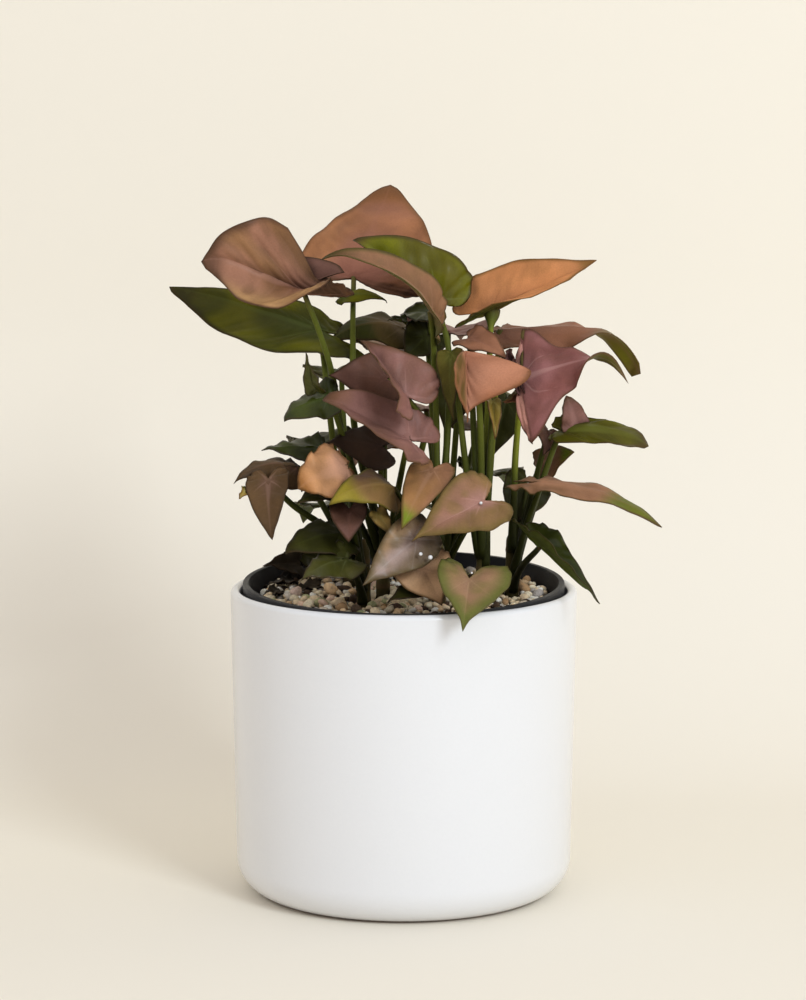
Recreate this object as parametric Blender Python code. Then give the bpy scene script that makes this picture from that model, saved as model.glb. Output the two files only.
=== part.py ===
"""An arrowhead plant in a nursery pot that stands in a white glazed cachepot.

Metres, +Z up. The origin is the centre of the cachepot's flat base, and the front is at -Y.
The rows of leaves are real sizes in millimetres, so MM turns them into metres.
"""
import math
from dataclasses import dataclass

import bmesh
import bpy
import numpy as np
from mathutils import Matrix, Vector
from mathutils.geometry import delaunay_2d_cdt

MM = 0.001
GAP = 0.0003
MERGE = 1e-6

# Cachepot
POT_HEIGHT = 0.133
POT_RADIUS = 0.075
POT_TAPER = 0.0021
POT_WALL = 0.0043
POT_FLOOR = 0.0045
POT_CORNER = 0.0155
POT_SIDES = 40

# Nursery pot, which leans a little forward in the cachepot
LINER_TOP_RADIUS = 0.0684
LINER_FOOT_RADIUS = 0.047
LINER_HEIGHT = 0.129
LINER_WALL = 0.0012
LINER_LIP = 0.0012
LINER_LIP_DEPTH = 0.007
LINER_LIP_INSET = 0.0017
LINER_TILT = math.radians(2.5)
LINER_RIM_CENTRE = (0.0, -0.0005, 0.1358)
LINER_SIDES = 32
DRAIN_RADIUS = 0.004
DRAIN_RING = 0.033
DRAIN_COUNT = 6
DRAIN_CUT_DEPTH = 0.01

# Potting mix and the pumice on it
SOIL_BELOW_RIM = 0.0085
SOIL_CLEARANCE = 0.0006
DRESSING_DEPTH = 0.0015
GRAIN_PITCH = 0.0104
GRAIN_RISE = 0.0026
GRAIN_JITTER = 0.14
GRAIN_ROW = 0.866
GRAIN_SEED = 7

# Leafy stems
STEM_FOOT_RADIUS = 3.5
STEM_TOP_RADIUS = 2.4
STEM_SIDES = 7
STEM_BURIED = 22.0
STEM_SOCKET_DEPTH = 24.0
STEM_SOCKET_OPEN = 20.0
STEM_SOCKET_RADIUS = 4.1
SOCKET_SIDES = 12
PETIOLE_SIDES = 4
PETIOLE_FOOT_RADIUS = 1.7
PETIOLE_TOP_RADIUS = 1.15
PETIOLE_SPANS = 4
PETIOLE_LEAVES_AT = 0.38
PETIOLE_ARRIVES_AT = 0.22
PETIOLE_OFF_AXIS = 0.6
PETIOLE_LEAN = 0.016
PETIOLE_END_RISE = 0.8
PETIOLE_END_REACH = 1.2

# Blades
BLADE_THICKNESS = 0.85
RIB_DEPTH = 0.7
BIG_BLADE = 45.0
FOLD_TURN = 0.65
DRIP_START = 0.7
CURL_START = 0.65
TWIST_START = 0.5
FULL_TURN = 5.0
SWEEP_TURN = 8.0
SWEEP_START = 0.6
NO_LOBE = 3.0
WAIST_AT = 0.4
RIPPLE_SHIFT = 0.4
MIDRIB_STEPS = 40
BIG_RINGS = (0.42, 0.76, 1.0)
SMALL_RINGS = (0.55, 1.0)

# Half of a blade's outline, tip to sinus: along the midrib in blade lengths, or lobe lengths
# behind the leaf joint, and sideways in half widths.
HALF_OUTLINE = (
    (1.0, 0.0), (0.84, 0.17), (0.62, 0.5), (0.34, 0.84), (0.06, 1.0),
    (-0.42, 0.95), (-0.9, 0.66), (-0.9, 0.34), (-0.12, 0.0),
)
SMALL_HALF_OUTLINE = (
    (1.0, 0.0), (0.7, 0.38), (0.28, 0.9), (-0.2, 1.0), (-0.88, 0.7), (-0.85, 0.28), (-0.12, 0.0),
)


@dataclass
class Leaf:
    """One leaf: where its blade starts and ends, how it lies, and its petiole's way to the stem."""

    joint: tuple
    tip: tuple
    face: tuple
    width: float
    lobe: float
    fold: tuple = (15, 15)
    lobe_fold: tuple = (10, 10)
    cup: float = 0.0
    arch: float = 20
    curl: float = 20
    droop: float = 10
    twist: float = 0
    wave: float = 1.0
    waves: float = 2.0
    halves: tuple = (1.0, 1.0)
    full: tuple = (1.0, 1.0)
    sweep: tuple = (0.0, 0.0)
    waist: tuple = (0.0, 0.0)
    turn_at: float = -0.08
    drip: float = 0.0
    via: tuple = ()
    root: float = 12


@dataclass
class LeafyStem:
    """One plantlet: where its stem stands, how tall it is, and its leaves."""

    x: float
    y: float
    height: float
    leaves: tuple


STEMS = {
    "leafy_stem_left": LeafyStem(-17, -18, 30, (
        # folded bronze leaf at the upper left
        Leaf((-42, -13, 262), (-85, -22, 275), (-0.15, -0.55, 0.83), 53, 22, (-15, 64), (58, 46),
             halves=(0.86, 0.32), full=(0.45, 1.05), sweep=(0, 19), waist=(0.0, -1.7),
             turn_at=0.18, arch=6, curl=70, droop=-28, wave=1.2, via=((-31, -7, 228), (-26, -5, 195)),
             root=22),
        # hanging brown leaf at the far left and the arched one behind it
        Leaf((-57, -34, 184), (-55, -50, 161), (-0.2, -0.9, 0.35), 19, 7, (14, 14), (0, 0),
             full=(0.8, 0.8), arch=20, curl=15, via=((-47, -24, 172), (-30, -17, 158)), root=10),
        Leaf((-45, -12, 187), (-72, -30, 182), (-0.2, -0.45, 0.87), 22, 7, (-52, -10), (-45, 0),
             arch=60, curl=20, root=12),
        # crinkled orange leaf
        Leaf((-24, -36, 190), (-44, -47, 182), (-0.1, -0.85, 0.5), 27, 5, (-15, 0), (-20, -10),
             full=(0.5, 0.5), arch=35, curl=50, wave=2.0, waves=2.5, root=14),
        # small dark leaf under the orange one
        Leaf((-29, -34, 181), (-45, -43, 175), (0.0, -0.6, 0.8), 15, 6, (-10, -10), arch=30, root=10),
        # low dark leaves at the left
        Leaf((-27, -31, 161), (-50, -43, 154), (-0.1, -0.6, 0.8), 25, 8, (-14, -10), (-10, -10),
             full=(0.8, 0.8), arch=45, root=6),
        Leaf((-24, -43, 152), (-43, -56, 145), (0.0, -0.6, 0.8), 21, 7, (-20, -10), arch=40, root=3),
        # maroon leaf that hangs under the arched hood
        Leaf((-23, -42, 173), (-23, -50, 160), (-0.1, -0.95, 0.3), 16, 4, (8, 8), full=(0.8, 0.8),
             arch=15, root=8),
    )),
    "leafy_stem_middle_left": LeafyStem(-9, 4, 34, (
        # terracotta leaf at the top
        Leaf((-22, 38, 265), (-6, 73, 304), (-0.05, -0.75, 0.65), 70, 5, (-20, 4), (-10, 0),
             halves=(0.95, 1.0), full=(0.6, 0.62), arch=14, curl=-15, wave=1.2,
             via=((-22, 13, 238), (-21, 6, 200)), root=26),
        # dusty pink leaf in the middle
        Leaf((1, -45, 221), (-18, -36, 244), (0.15, -0.93, 0.3), 34, 9, (74, 4), (50, -5),
             halves=(1.0, 0.95), full=(1.3, 1.1), arch=8, curl=45, wave=1.0,
             via=((9, -27, 205), (3, -8, 180)), root=20),
        # maroon leaf behind it
        Leaf((-8, -14, 225), (-32, -20, 227), (-0.05, -0.9, 0.45), 24, 8, (-5, 5), arch=20, root=18),
        # large pink leaf
        Leaf((2, -45, 203), (-34, -38, 219), (0.1, -0.8, 0.6), 33, 12, (45, 4), (30, 0),
             halves=(1.0, 0.85), full=(0.6, 0.4), arch=10, curl=25, wave=1.2, root=14),
        # dark glossy leaf at the left
        Leaf((-32, -20, 218), (-51, -26, 208), (-0.3, -0.5, 0.8), 19, 6, (-35, -5), (-10, 40),
             full=(0.7, 0.8), arch=40, curl=30, root=20),
        # dark green leaf above the brown ones
        Leaf((-37, -2, 194), (-61, -10, 194), (-0.1, -0.6, 0.8), 18, 5, (-10, -20), arch=25, root=14),
        # dark leaf in the shade of the pink one
        Leaf((-10, -13, 196), (-33, -17, 198), (0, -0.75, 0.65), 24, 7, (-10, -10), arch=30, root=14),
    )),
    "leafy_stem_middle": LeafyStem(15, -14, 30, (
        # pinkish tan leaf under the glossy one
        Leaf((12, -17, 254), (-35, -25, 277), (-0.1, -0.75, 0.66), 24, 16, (45, 8), (20, 10),
             halves=(0.9, 0.9), full=(0.8, 0.8), arch=98, curl=25,
             via=((13, -9, 232), (14, -11, 200)), root=22),
        # glossy green leaf at the top
        Leaf((12, 12, 256), (-22, 16, 282), (0.46, -0.7, 0.54), 42, 10, (42, 42), (30, 35),
             full=(0.75, 0.75), arch=22, curl=20, via=((19, 0, 238), (19, -7, 205)), root=26),
        # bronze leaf with a green tip
        Leaf((12, -44, 190), (-1, -62, 167), (0.0, -0.9, 0.44), 19, 7, (10, -10), (10, -20),
             full=(0.8, 0.8), arch=20, curl=20, root=12),
        # pink heart leaf
        Leaf((33, -54, 178), (3, -68, 163), (0.0, -0.8, 0.6), 30, 9, (8, 4), (10, 5),
             full=(1.3, 1.2), arch=12, curl=10, wave=0.8, root=10),
        # silvery leaf low in front
        Leaf((5, -56, 162), (-17, -71, 145), (0.1, -0.85, 0.5), 22, 12, (-12, 8), (-10, 10),
             arch=20, curl=10, wave=0.6, root=6),
        # brown leaf that hangs below it
        Leaf((8, -50, 149), (16, -61, 135), (0.0, -0.9, 0.4), 25, 6, (8, 8), arch=15, root=3),
        # dark leaf on the grains under it
        Leaf((12, -45, 141), (-7, -57, 136), (0.0, -0.5, 0.85), 16, 5, (-5, -5), arch=20, root=6),
        # pink and green leaf over the front rim
        Leaf((27, -66, 147), (24, -88, 129), (0.05, -0.85, 0.55), 28, 10, (10, 14), (16, 20),
             halves=(1.25, 1.0), full=(1.2, 1.2), arch=25, curl=10, wave=0.8, root=4),
        # bronze and olive hood
        Leaf((-4, -40, 182), (-31, -60, 177), (-0.1, -0.7, 0.7), 24, 8, (-30, -10), (-40, -10),
             full=(0.8, 0.8), arch=75, curl=10, root=12),
        # olive leaf beside it
        Leaf((-11, -46, 172), (-4, -52, 162), (0.2, -0.9, 0.4), 8, 2, (5, 5), arch=10, root=8),
    )),
    "leafy_stem_right": LeafyStem(34, -6, 34, (
        # orange leaf at the upper right
        Leaf((38, 14, 252), (83, 8, 274), (0.05, -0.78, 0.62), 38, 17, (8, 34), (0, 75),
             halves=(1.0, 0.45), full=(0.85, 0.85), sweep=(0, 16), turn_at=0.24, arch=8, curl=-10,
             wave=1.0, via=((37, 3, 235), (36, -4, 205)), root=26),
        # orange triangular leaf
        Leaf((26, -30, 238), (27, -40, 209), (-0.1, -0.95, 0.3), 50, 2, (0, 80), (0, 80),
             halves=(1.08, 0.8), full=(3.2, 1.4), sweep=(10, 12), arch=8, curl=0, wave=0.5,
             via=((32, -22, 214),), root=20),
        # olive leaf behind it
        Leaf((20, -16, 236), (21, -25, 208), (-0.6, -0.75, 0.25), 13, 2, (5, 5), arch=12, root=20),
        # small pinkish brown leaf
        Leaf((28, 2, 241), (45, -12, 232), (0.1, -0.7, 0.7), 17, 5, (10, 10), arch=25, root=22),
        # long pink leaf with a green curled tip
        Leaf((42, 20, 243), (102, 6, 240), (0.05, -0.45, 0.88), 26, 8, (-26, -20), (-20, -10),
             twist=-80, full=(0.25, 0.35), arch=20, curl=20, drip=15, wave=1.6, waves=1.6, root=26),
        # hanging, unfurling leaf
        Leaf((38, -10, 215), (39, -16, 199), (0.3, -0.9, 0.3), 8, 2, (40, 40), arch=10, root=16),
    )),
    "leafy_stem_far_right": LeafyStem(47, 7, 30, (
        # mauve heart leaf with pale veins
        Leaf((50, -20, 226), (94, -36, 239), (-0.05, -0.88, 0.46), 58, 6, (-20, -4), (-20, -8),
             halves=(0.95, 1.0), full=(0.8, 0.7), sweep=(-8, -2), waist=(0.5, 0.45), twist=-165, arch=22,
             curl=15, drip=14, wave=0.8, via=((49, -6, 205), (48, 2, 185)), root=20),
        # long green leaf at the right
        Leaf((68, -2, 202), (105, -12, 196), (0.1, -0.6, 0.8), 16, 6, (-14, -12), (20, 0),
             full=(0.4, 0.4), sweep=(14, 12), turn_at=0.05, arch=45, curl=25, root=14),
        # dark purple leaf
        Leaf((63, 8, 200), (60, 0, 190), (0.4, -0.8, 0.4), 11, 3, (5, 5), root=12),
        # small olive brown leaf
        Leaf((59, 20, 183), (74, 8, 191), (0.2, -0.8, 0.55), 18, 6, (-10, -15), full=(0.7, 0.7), arch=45,
             root=10),
        # long bronze leaf at the lower right
        Leaf((59, -22, 182), (109, -38, 165), (0.1, -0.33, 0.94), 19, 16, (-15, -8), (-15, 0),
             full=(0.7, 0.6), arch=38, curl=5, wave=1.4, root=10),
        # dark green leaf at the lower right
        Leaf((58, -30, 156), (82, -50, 134), (0.35, -0.85, 0.4), 24, 15, (6, 75), (0, 60),
             halves=(0.85, 1.0), full=(0.9, 1.1), waist=(0.3, 0.0), arch=8, curl=5, root=3),
        # dark leaf behind the right side
        Leaf((54, 26, 173), (46, 16, 157), (0.2, -0.9, 0.3), 22, 7, (5, 5), arch=15, root=6),
    )),
    "leafy_stem_back_left": LeafyStem(-24, 30, 30, (
        # large green leaf at the upper left
        Leaf((-37, 24, 243), (-102, 24, 261), (0.05, -0.6, 0.8), 42, 24, (-4, 10), (12, -10),
             halves=(0.8, 0.5), full=(0.6, 0.9), sweep=(12, 4), waist=(-0.42, 0.0), arch=8, curl=15,
             wave=1.0, root=24),
        # olive leaf that arches in the middle
        Leaf((-1, 34, 243), (-33, 24, 236), (-0.1, -0.45, 0.88), 26, 8, (-25, -10), (-20, 0),
             full=(0.8, 0.8), arch=70, root=22),
        # leaves at the back
        Leaf((-28, 56, 222), (-34, 94, 210), (-0.2, 0.4, 0.85), 34, 12, arch=30, root=18),
        Leaf((-14, 62, 186), (-24, 98, 172), (-0.2, 0.5, 0.8), 36, 13, arch=30, root=12),
        Leaf((-34, 50, 162), (-46, 78, 150), (-0.3, 0.5, 0.8), 28, 10, arch=30, root=4),
        Leaf((-6, 60, 232), (-10, 94, 224), (0.0, 0.5, 0.85), 34, 12, arch=30, root=20),
        Leaf((-36, 52, 190), (-50, 80, 182), (-0.3, 0.4, 0.85), 30, 10, arch=35, root=10),
        Leaf((-12, 60, 148), (-18, 90, 140), (-0.1, 0.5, 0.8), 30, 10, arch=25, root=3),
    )),
    "leafy_stem_back_right": LeafyStem(18, 34, 32, (
        # dark leaf in the gap below the glossy one
        Leaf((11, 24, 250), (-2, 32, 249), (0.1, -0.6, 0.8), 18, 6, (10, 10), arch=20, root=22),
        # leaves at the back
        Leaf((20, 52, 240), (26, 92, 232), (0.1, 0.45, 0.88), 40, 14, arch=30, root=24),
        Leaf((44, 48, 212), (56, 80, 200), (0.3, 0.4, 0.85), 34, 13, arch=30, root=16),
        Leaf((10, 62, 204), (12, 98, 196), (0.0, 0.6, 0.8), 36, 13, arch=30, root=14),
        Leaf((38, 58, 176), (48, 90, 164), (0.3, 0.5, 0.8), 30, 11, arch=30, root=8),
        Leaf((14, 64, 160), (18, 90, 148), (0.1, 0.6, 0.8), 28, 10, arch=30, root=4),
        Leaf((34, 58, 196), (44, 90, 188), (0.2, 0.5, 0.85), 30, 11, arch=25, root=12),
        # dark leaves that hang behind the petioles
        Leaf((25, 14, 224), (18, 9, 198), (-0.1, -0.9, 0.3), 24, 7, (8, 8), arch=20, root=14),
        Leaf((45, 23, 212), (38, 16, 187), (0.1, -0.9, 0.3), 22, 7, (8, 8), arch=20, root=12),
        # dark leaf that hangs below the first one
        Leaf((10, 22, 240), (0, 16, 230), (-0.1, -0.9, 0.4), 20, 6, (8, 8), arch=20, root=18),
    )),
}


def clear_scene():
    """Take away every object that the file holds."""
    for thing in list(bpy.data.objects):
        bpy.data.objects.remove(thing, do_unlink=True)


def material(name, colour, roughness, metallic=0.0):
    """A Principled material with one colour."""
    paint = bpy.data.materials.new(name)
    paint.use_nodes = True
    shader = paint.node_tree.nodes["Principled BSDF"]
    shader.inputs["Base Color"].default_value = (*colour, 1.0)
    shader.inputs["Roughness"].default_value = roughness
    shader.inputs["Metallic"].default_value = metallic
    return paint


def object_from(name, mesh, paint, smooth=True):
    """Link a mesh as a named object with its material."""
    mesh.materials.clear()
    mesh.materials.append(paint)
    if smooth:
        mesh.shade_smooth()
        mesh.set_sharp_from_angle(angle=math.radians(40))
    thing = bpy.data.objects.new(name, mesh)
    bpy.context.collection.objects.link(thing)
    return thing


def unit(vector):
    """The vector at length one."""
    vector = np.asarray(vector, float)
    return vector / np.linalg.norm(vector)


def turned_mesh(name, profile, sides):
    """Spin a profile of (radius, height) points, from axis to axis, into a closed solid."""
    shape = bmesh.new()
    points = [shape.verts.new((radius, 0.0, height)) for radius, height in profile]
    edges = [shape.edges.new(pair) for pair in zip(points, points[1:])]
    bmesh.ops.spin(shape, geom=points + edges, cent=(0, 0, 0), axis=(0, 0, 1),
                   angle=2 * math.pi, steps=sides, use_merge=True)
    bmesh.ops.remove_doubles(shape, verts=shape.verts, dist=MERGE)
    bmesh.ops.recalc_face_normals(shape, faces=shape.faces)
    mesh = bpy.data.meshes.new(name)
    shape.to_mesh(mesh)
    shape.free()
    return mesh


def arc(centre, radius, start, end, steps):
    """Points on an arc of the profile plane, in degrees from +X."""
    angles = np.radians(np.linspace(start, end, steps + 1))
    return [(centre[0] + radius * math.cos(a), centre[1] + radius * math.sin(a)) for a in angles]


def cut(target, cutters):
    """Cut several closed shapes out of one object and take the cutters away."""
    for cutter in cutters:
        cutter.hide_render = True
        cutter.display_type = "WIRE"
        step = target.modifiers.new("cut", "BOOLEAN")
        step.operation = "DIFFERENCE"
        step.object = cutter
    apply_modifiers(target)
    for cutter in cutters:
        bpy.data.objects.remove(cutter, do_unlink=True)


def apply_modifiers(thing):
    """Replace the object's mesh by the evaluated one."""
    bpy.context.view_layer.update()
    seen = thing.evaluated_get(bpy.context.evaluated_depsgraph_get())
    mesh = bpy.data.meshes.new_from_object(seen)
    thing.modifiers.clear()
    thing.data = mesh


def cylinder(radius, depth, place):
    """A cutter whose lower end is at the place given."""
    shape = bmesh.new()
    bmesh.ops.create_cone(shape, cap_ends=True, segments=SOCKET_SIDES, radius1=radius, radius2=radius,
                          depth=depth,
                          matrix=Matrix.Translation(Vector(place) + Vector((0, 0, depth / 2))))
    mesh = bpy.data.meshes.new("cutter")
    shape.to_mesh(mesh)
    shape.free()
    thing = bpy.data.objects.new("cutter", mesh)
    bpy.context.collection.objects.link(thing)
    return thing


def make_cachepot():
    """White glazed pot: a wall that tapers a little, a round lip and a round bottom corner."""
    foot_radius = POT_RADIUS - POT_TAPER
    lip = POT_WALL / 2
    outside = [(0.0, 0.0)] + arc((foot_radius - POT_CORNER, POT_CORNER), POT_CORNER, -90, 0, 4)
    rim = arc((POT_RADIUS - lip, POT_HEIGHT - lip), lip, 0, 180, 4)
    inner_corner = POT_CORNER - POT_WALL
    inside_foot = foot_radius - POT_WALL
    inside = arc((inside_foot - inner_corner, POT_FLOOR + inner_corner), inner_corner, 0, -90, 3)
    inside += [(0.0, POT_FLOOR)]
    mesh = turned_mesh("cachepot", outside + rim + inside, POT_SIDES)
    object_from("cachepot", mesh, material("white_glaze", (0.86, 0.86, 0.87), 0.12))


def liner_frame():
    """Where the nursery pot's own upright frame lies in the cachepot."""
    lean = Matrix.Rotation(LINER_TILT, 4, "X")
    return Matrix.Translation(LINER_RIM_CENTRE) @ lean @ Matrix.Translation((0, 0, -LINER_HEIGHT))


def make_nursery_pot():
    """Black plastic pot with a turned-down lip and drain holes."""
    lip_radius = LINER_TOP_RADIUS + LINER_LIP
    lip_foot = LINER_HEIGHT - LINER_LIP_DEPTH
    profile = [
        (0.0, 0.0), (LINER_FOOT_RADIUS, 0.0), (LINER_TOP_RADIUS - LINER_WALL, lip_foot),
        (lip_radius, lip_foot), (lip_radius, LINER_HEIGHT - LINER_WALL / 2),
        (lip_radius - LINER_WALL / 2, LINER_HEIGHT),
        (LINER_TOP_RADIUS - LINER_WALL, LINER_HEIGHT),
        (LINER_TOP_RADIUS - LINER_LIP_INSET, LINER_HEIGHT - LINER_WALL),
        (LINER_FOOT_RADIUS - LINER_WALL, LINER_WALL), (0.0, LINER_WALL),
    ]
    pot = object_from("nursery_pot", turned_mesh("nursery_pot", profile, LINER_SIDES),
                      material("black_plastic", (0.02, 0.02, 0.022), 0.5))
    turns = [2 * math.pi * i / DRAIN_COUNT for i in range(DRAIN_COUNT)]
    holes = [cylinder(DRAIN_RADIUS, DRAIN_CUT_DEPTH,
                      (DRAIN_RING * math.cos(t), DRAIN_RING * math.sin(t), -DRAIN_CUT_DEPTH / 2))
             for t in turns]
    cut(pot, holes)
    pot.data.transform(liner_frame())


def liner_inner_radius(height):
    """Inside radius of the nursery pot at a height above its foot."""
    share = (height - LINER_WALL) / (LINER_HEIGHT - LINER_WALL * 2)
    top = LINER_TOP_RADIUS - LINER_LIP_INSET
    foot = LINER_FOOT_RADIUS - LINER_WALL
    return foot + (top - foot) * share


def stem_sockets():
    """Cutters for the plain holes that the stems stand in, in world space."""
    sockets = []
    for stem in STEMS.values():
        level = soil_level(stem.x * MM, stem.y * MM)
        foot = (stem.x * MM, stem.y * MM, level - STEM_SOCKET_DEPTH * MM)
        sockets.append(cylinder(STEM_SOCKET_RADIUS * MM, (STEM_SOCKET_DEPTH + STEM_SOCKET_OPEN) * MM, foot))
    return sockets


def soil_level(x, y):
    """Height of the potting mix under a point, on its leaning surface."""
    centre = liner_frame() @ Vector((0, 0, LINER_HEIGHT - SOIL_BELOW_RIM))
    return centre.z + (y - centre.y) * math.tan(LINER_TILT)


def make_potting_mix():
    """Potting mix that fills the nursery pot up to the pumice, with holes for the stems."""
    top = LINER_HEIGHT - SOIL_BELOW_RIM
    foot = LINER_WALL + GAP
    rim_radius = liner_inner_radius(top) - SOIL_CLEARANCE
    foot_radius = liner_inner_radius(foot) - SOIL_CLEARANCE
    profile = [(0.0, foot), (foot_radius, foot), (rim_radius, top), (0.0, top)]
    mix = object_from("potting_mix", turned_mesh("potting_mix", profile, LINER_SIDES),
                      material("potting_mix", (0.075, 0.042, 0.026), 0.95), smooth=False)
    mix.data.transform(liner_frame())
    cut(mix, stem_sockets())


def make_pumice():
    """Layer of pumice grains, raised from one sheet: a peak for each grain and valleys between."""
    dice = np.random.default_rng(GRAIN_SEED)
    foot = LINER_HEIGHT - SOIL_BELOW_RIM + GAP
    radius = liner_inner_radius(foot) - SOIL_CLEARANCE
    ring_count = LINER_SIDES
    turns = [2 * math.pi * i / ring_count for i in range(ring_count)]
    flat = [Vector((radius * math.cos(t), radius * math.sin(t))) for t in turns]
    heights = [DRESSING_DEPTH] * ring_count
    rows = int(2 * radius / (GRAIN_PITCH * GRAIN_ROW)) + 2
    for row in range(rows):
        y = -radius + row * GRAIN_PITCH * GRAIN_ROW
        for step in range(rows):
            x = -radius + (step + 0.5 * (row % 2)) * GRAIN_PITCH
            for part, offset in enumerate(((0, 0), (0.5, 0.29), (0, 0.577))):
                spot = Vector((x + offset[0] * GRAIN_PITCH, y + offset[1] * GRAIN_PITCH))
                spot += Vector(dice.uniform(-GRAIN_JITTER, GRAIN_JITTER, 2) * GRAIN_PITCH)
                rise = GRAIN_RISE * dice.uniform(0.75, 1.1) if part == 0 else dice.uniform(0, 0.0004)
                if spot.length > radius - GRAIN_PITCH * 0.3:
                    continue
                flat.append(spot)
                heights.append(DRESSING_DEPTH + rise)
    rim_edges = [(i, (i + 1) % ring_count) for i in range(ring_count)]
    spots, _, faces, origin, _, _ = delaunay_2d_cdt(flat, rim_edges, [], 1, 1e-7)
    rises = [heights[source[0]] if source else DRESSING_DEPTH for source in origin]
    count = len(spots)
    points = [(p.x, p.y, foot + rise) for p, rise in zip(spots, rises)]
    points += [(radius * math.cos(t), radius * math.sin(t), foot) for t in turns]
    rim = [next(i for i, source in enumerate(origin) if k in source) for k in range(ring_count)]
    sheet = [tuple(face) for face in faces]
    sheet += [(rim[(i + 1) % ring_count], rim[i], count + i, count + (i + 1) % ring_count)
              for i in range(ring_count)]
    sheet.append(tuple(count + i for i in reversed(range(ring_count))))
    mesh = bpy.data.meshes.new("pumice_dressing")
    mesh.from_pydata(points, [], sheet)
    shape = bmesh.new()
    shape.from_mesh(mesh)
    bmesh.ops.recalc_face_normals(shape, faces=shape.faces)
    shape.to_mesh(mesh)
    shape.free()
    layer = object_from("pumice_dressing", mesh, material("pumice", (0.5, 0.41, 0.31), 0.9), smooth=False)
    layer.data.transform(liner_frame())
    cut(layer, stem_sockets())


def midrib(leaf, along, length):
    """Places and headings on the midrib, in the plane of the chord and the upper face."""
    steps = MIDRIB_STEPS
    share = (np.arange(steps) + 0.5) / steps
    curled = np.clip((share - CURL_START) / (1 - CURL_START), 0, 1) ** 2
    bend = -np.radians(leaf.arch) * share - np.radians(leaf.curl) * curled
    run = np.concatenate([[0], np.cumsum(np.cos(bend))]) / steps
    rise = np.concatenate([[0], np.cumsum(np.sin(bend))]) / steps
    chord = math.hypot(run[-1], rise[-1])
    tilt = -math.atan2(rise[-1], run[-1])
    blade = length / chord
    ahead = np.clip(along, 0, 1) * steps
    whole = np.minimum(ahead.astype(int), steps - 1)
    part = ahead - whole
    x = (run[whole] + part * (run[whole + 1] - run[whole])) * blade
    z = (rise[whole] + part * (rise[whole + 1] - rise[whole])) * blade
    heading = bend[whole] * np.clip(ahead, 0, 1)
    behind = np.clip(-along, 0, None) * leaf.lobe
    sag = np.radians(leaf.droop) * np.clip(-along, 0, None)
    x = x - behind * np.cos(sag / 2)
    z = z - behind * np.sin(sag / 2)
    heading = np.where(along < 0, sag, heading) + tilt
    turned_x = x * math.cos(tilt) - z * math.sin(tilt)
    turned_z = x * math.sin(tilt) + z * math.cos(tilt)
    return turned_x, turned_z, heading


def blade_sheet(leaf, along, aside):
    """Points of the blade's middle surface, in millimetres, from its flat outline coordinates."""
    joint = np.array(leaf.joint, float)
    chord = np.array(leaf.tip, float) - joint
    length = np.linalg.norm(chord)
    ahead = chord / length
    face = np.array(leaf.face, float)
    up = unit(face - ahead * (face @ ahead))
    left = np.cross(up, ahead)
    half = (aside < 0).astype(int)
    side_share = np.abs(aside)
    front = np.clip(along * FULL_TURN + 0.5, 0, 1)
    aside = np.sign(aside) * side_share ** (1 + (np.array(leaf.full)[half] - 1) * front)
    gate = np.clip(along * SWEEP_TURN + SWEEP_START, 0, 1) if leaf.lobe > NO_LOBE else 1.0
    swept = np.array(leaf.sweep)[half] * side_share * gate
    place = np.where(along < 0, along * leaf.lobe, along * length) + swept
    along = np.where(place < 0, place / leaf.lobe, place / length)
    x, z, heading = midrib(leaf, along, length)
    normal = np.outer(-np.sin(heading), ahead) + np.outer(np.cos(heading), up)
    turn = np.radians(leaf.twist) * np.clip((along - TWIST_START) / (1 - TWIST_START), 0, 1)
    side = np.cos(turn)[:, None] * left + np.sin(turn)[:, None] * normal
    over = np.cos(turn)[:, None] * normal - np.sin(turn)[:, None] * left
    base = joint + np.outer(x, ahead) + np.outer(z, up)
    blend = np.clip((along - leaf.turn_at) / FOLD_TURN + 0.5, 0, 1)
    blend = blend * blend * (3 - 2 * blend)
    left_fold = leaf.lobe_fold[0] + (leaf.fold[0] - leaf.lobe_fold[0]) * blend
    right_fold = leaf.lobe_fold[1] + (leaf.fold[1] - leaf.lobe_fold[1]) * blend
    reach = np.abs(aside) * leaf.width / 2 * np.array(leaf.halves)[half]
    narrow = np.clip(along / WAIST_AT, 0, 1)
    reach = reach * (1 - np.array(leaf.waist)[half] * narrow * narrow * (3 - 2 * narrow))
    lift = np.radians(np.where(aside >= 0, left_fold, right_fold) + leaf.cup * np.abs(aside) / 2)
    ripple = np.sin(2 * math.pi * (leaf.waves * along + RIPPLE_SHIFT * (aside > 0)))
    rise = reach * np.sin(lift) + leaf.wave * ripple * np.abs(aside) ** 2
    out = np.sign(aside) * reach * np.cos(lift)
    sheet = base + side * out[:, None] + over * rise[:, None]
    sheet[:, 2] -= leaf.drip * np.clip((along - DRIP_START) / (1 - DRIP_START), 0, 1) ** 2
    return sheet


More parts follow.
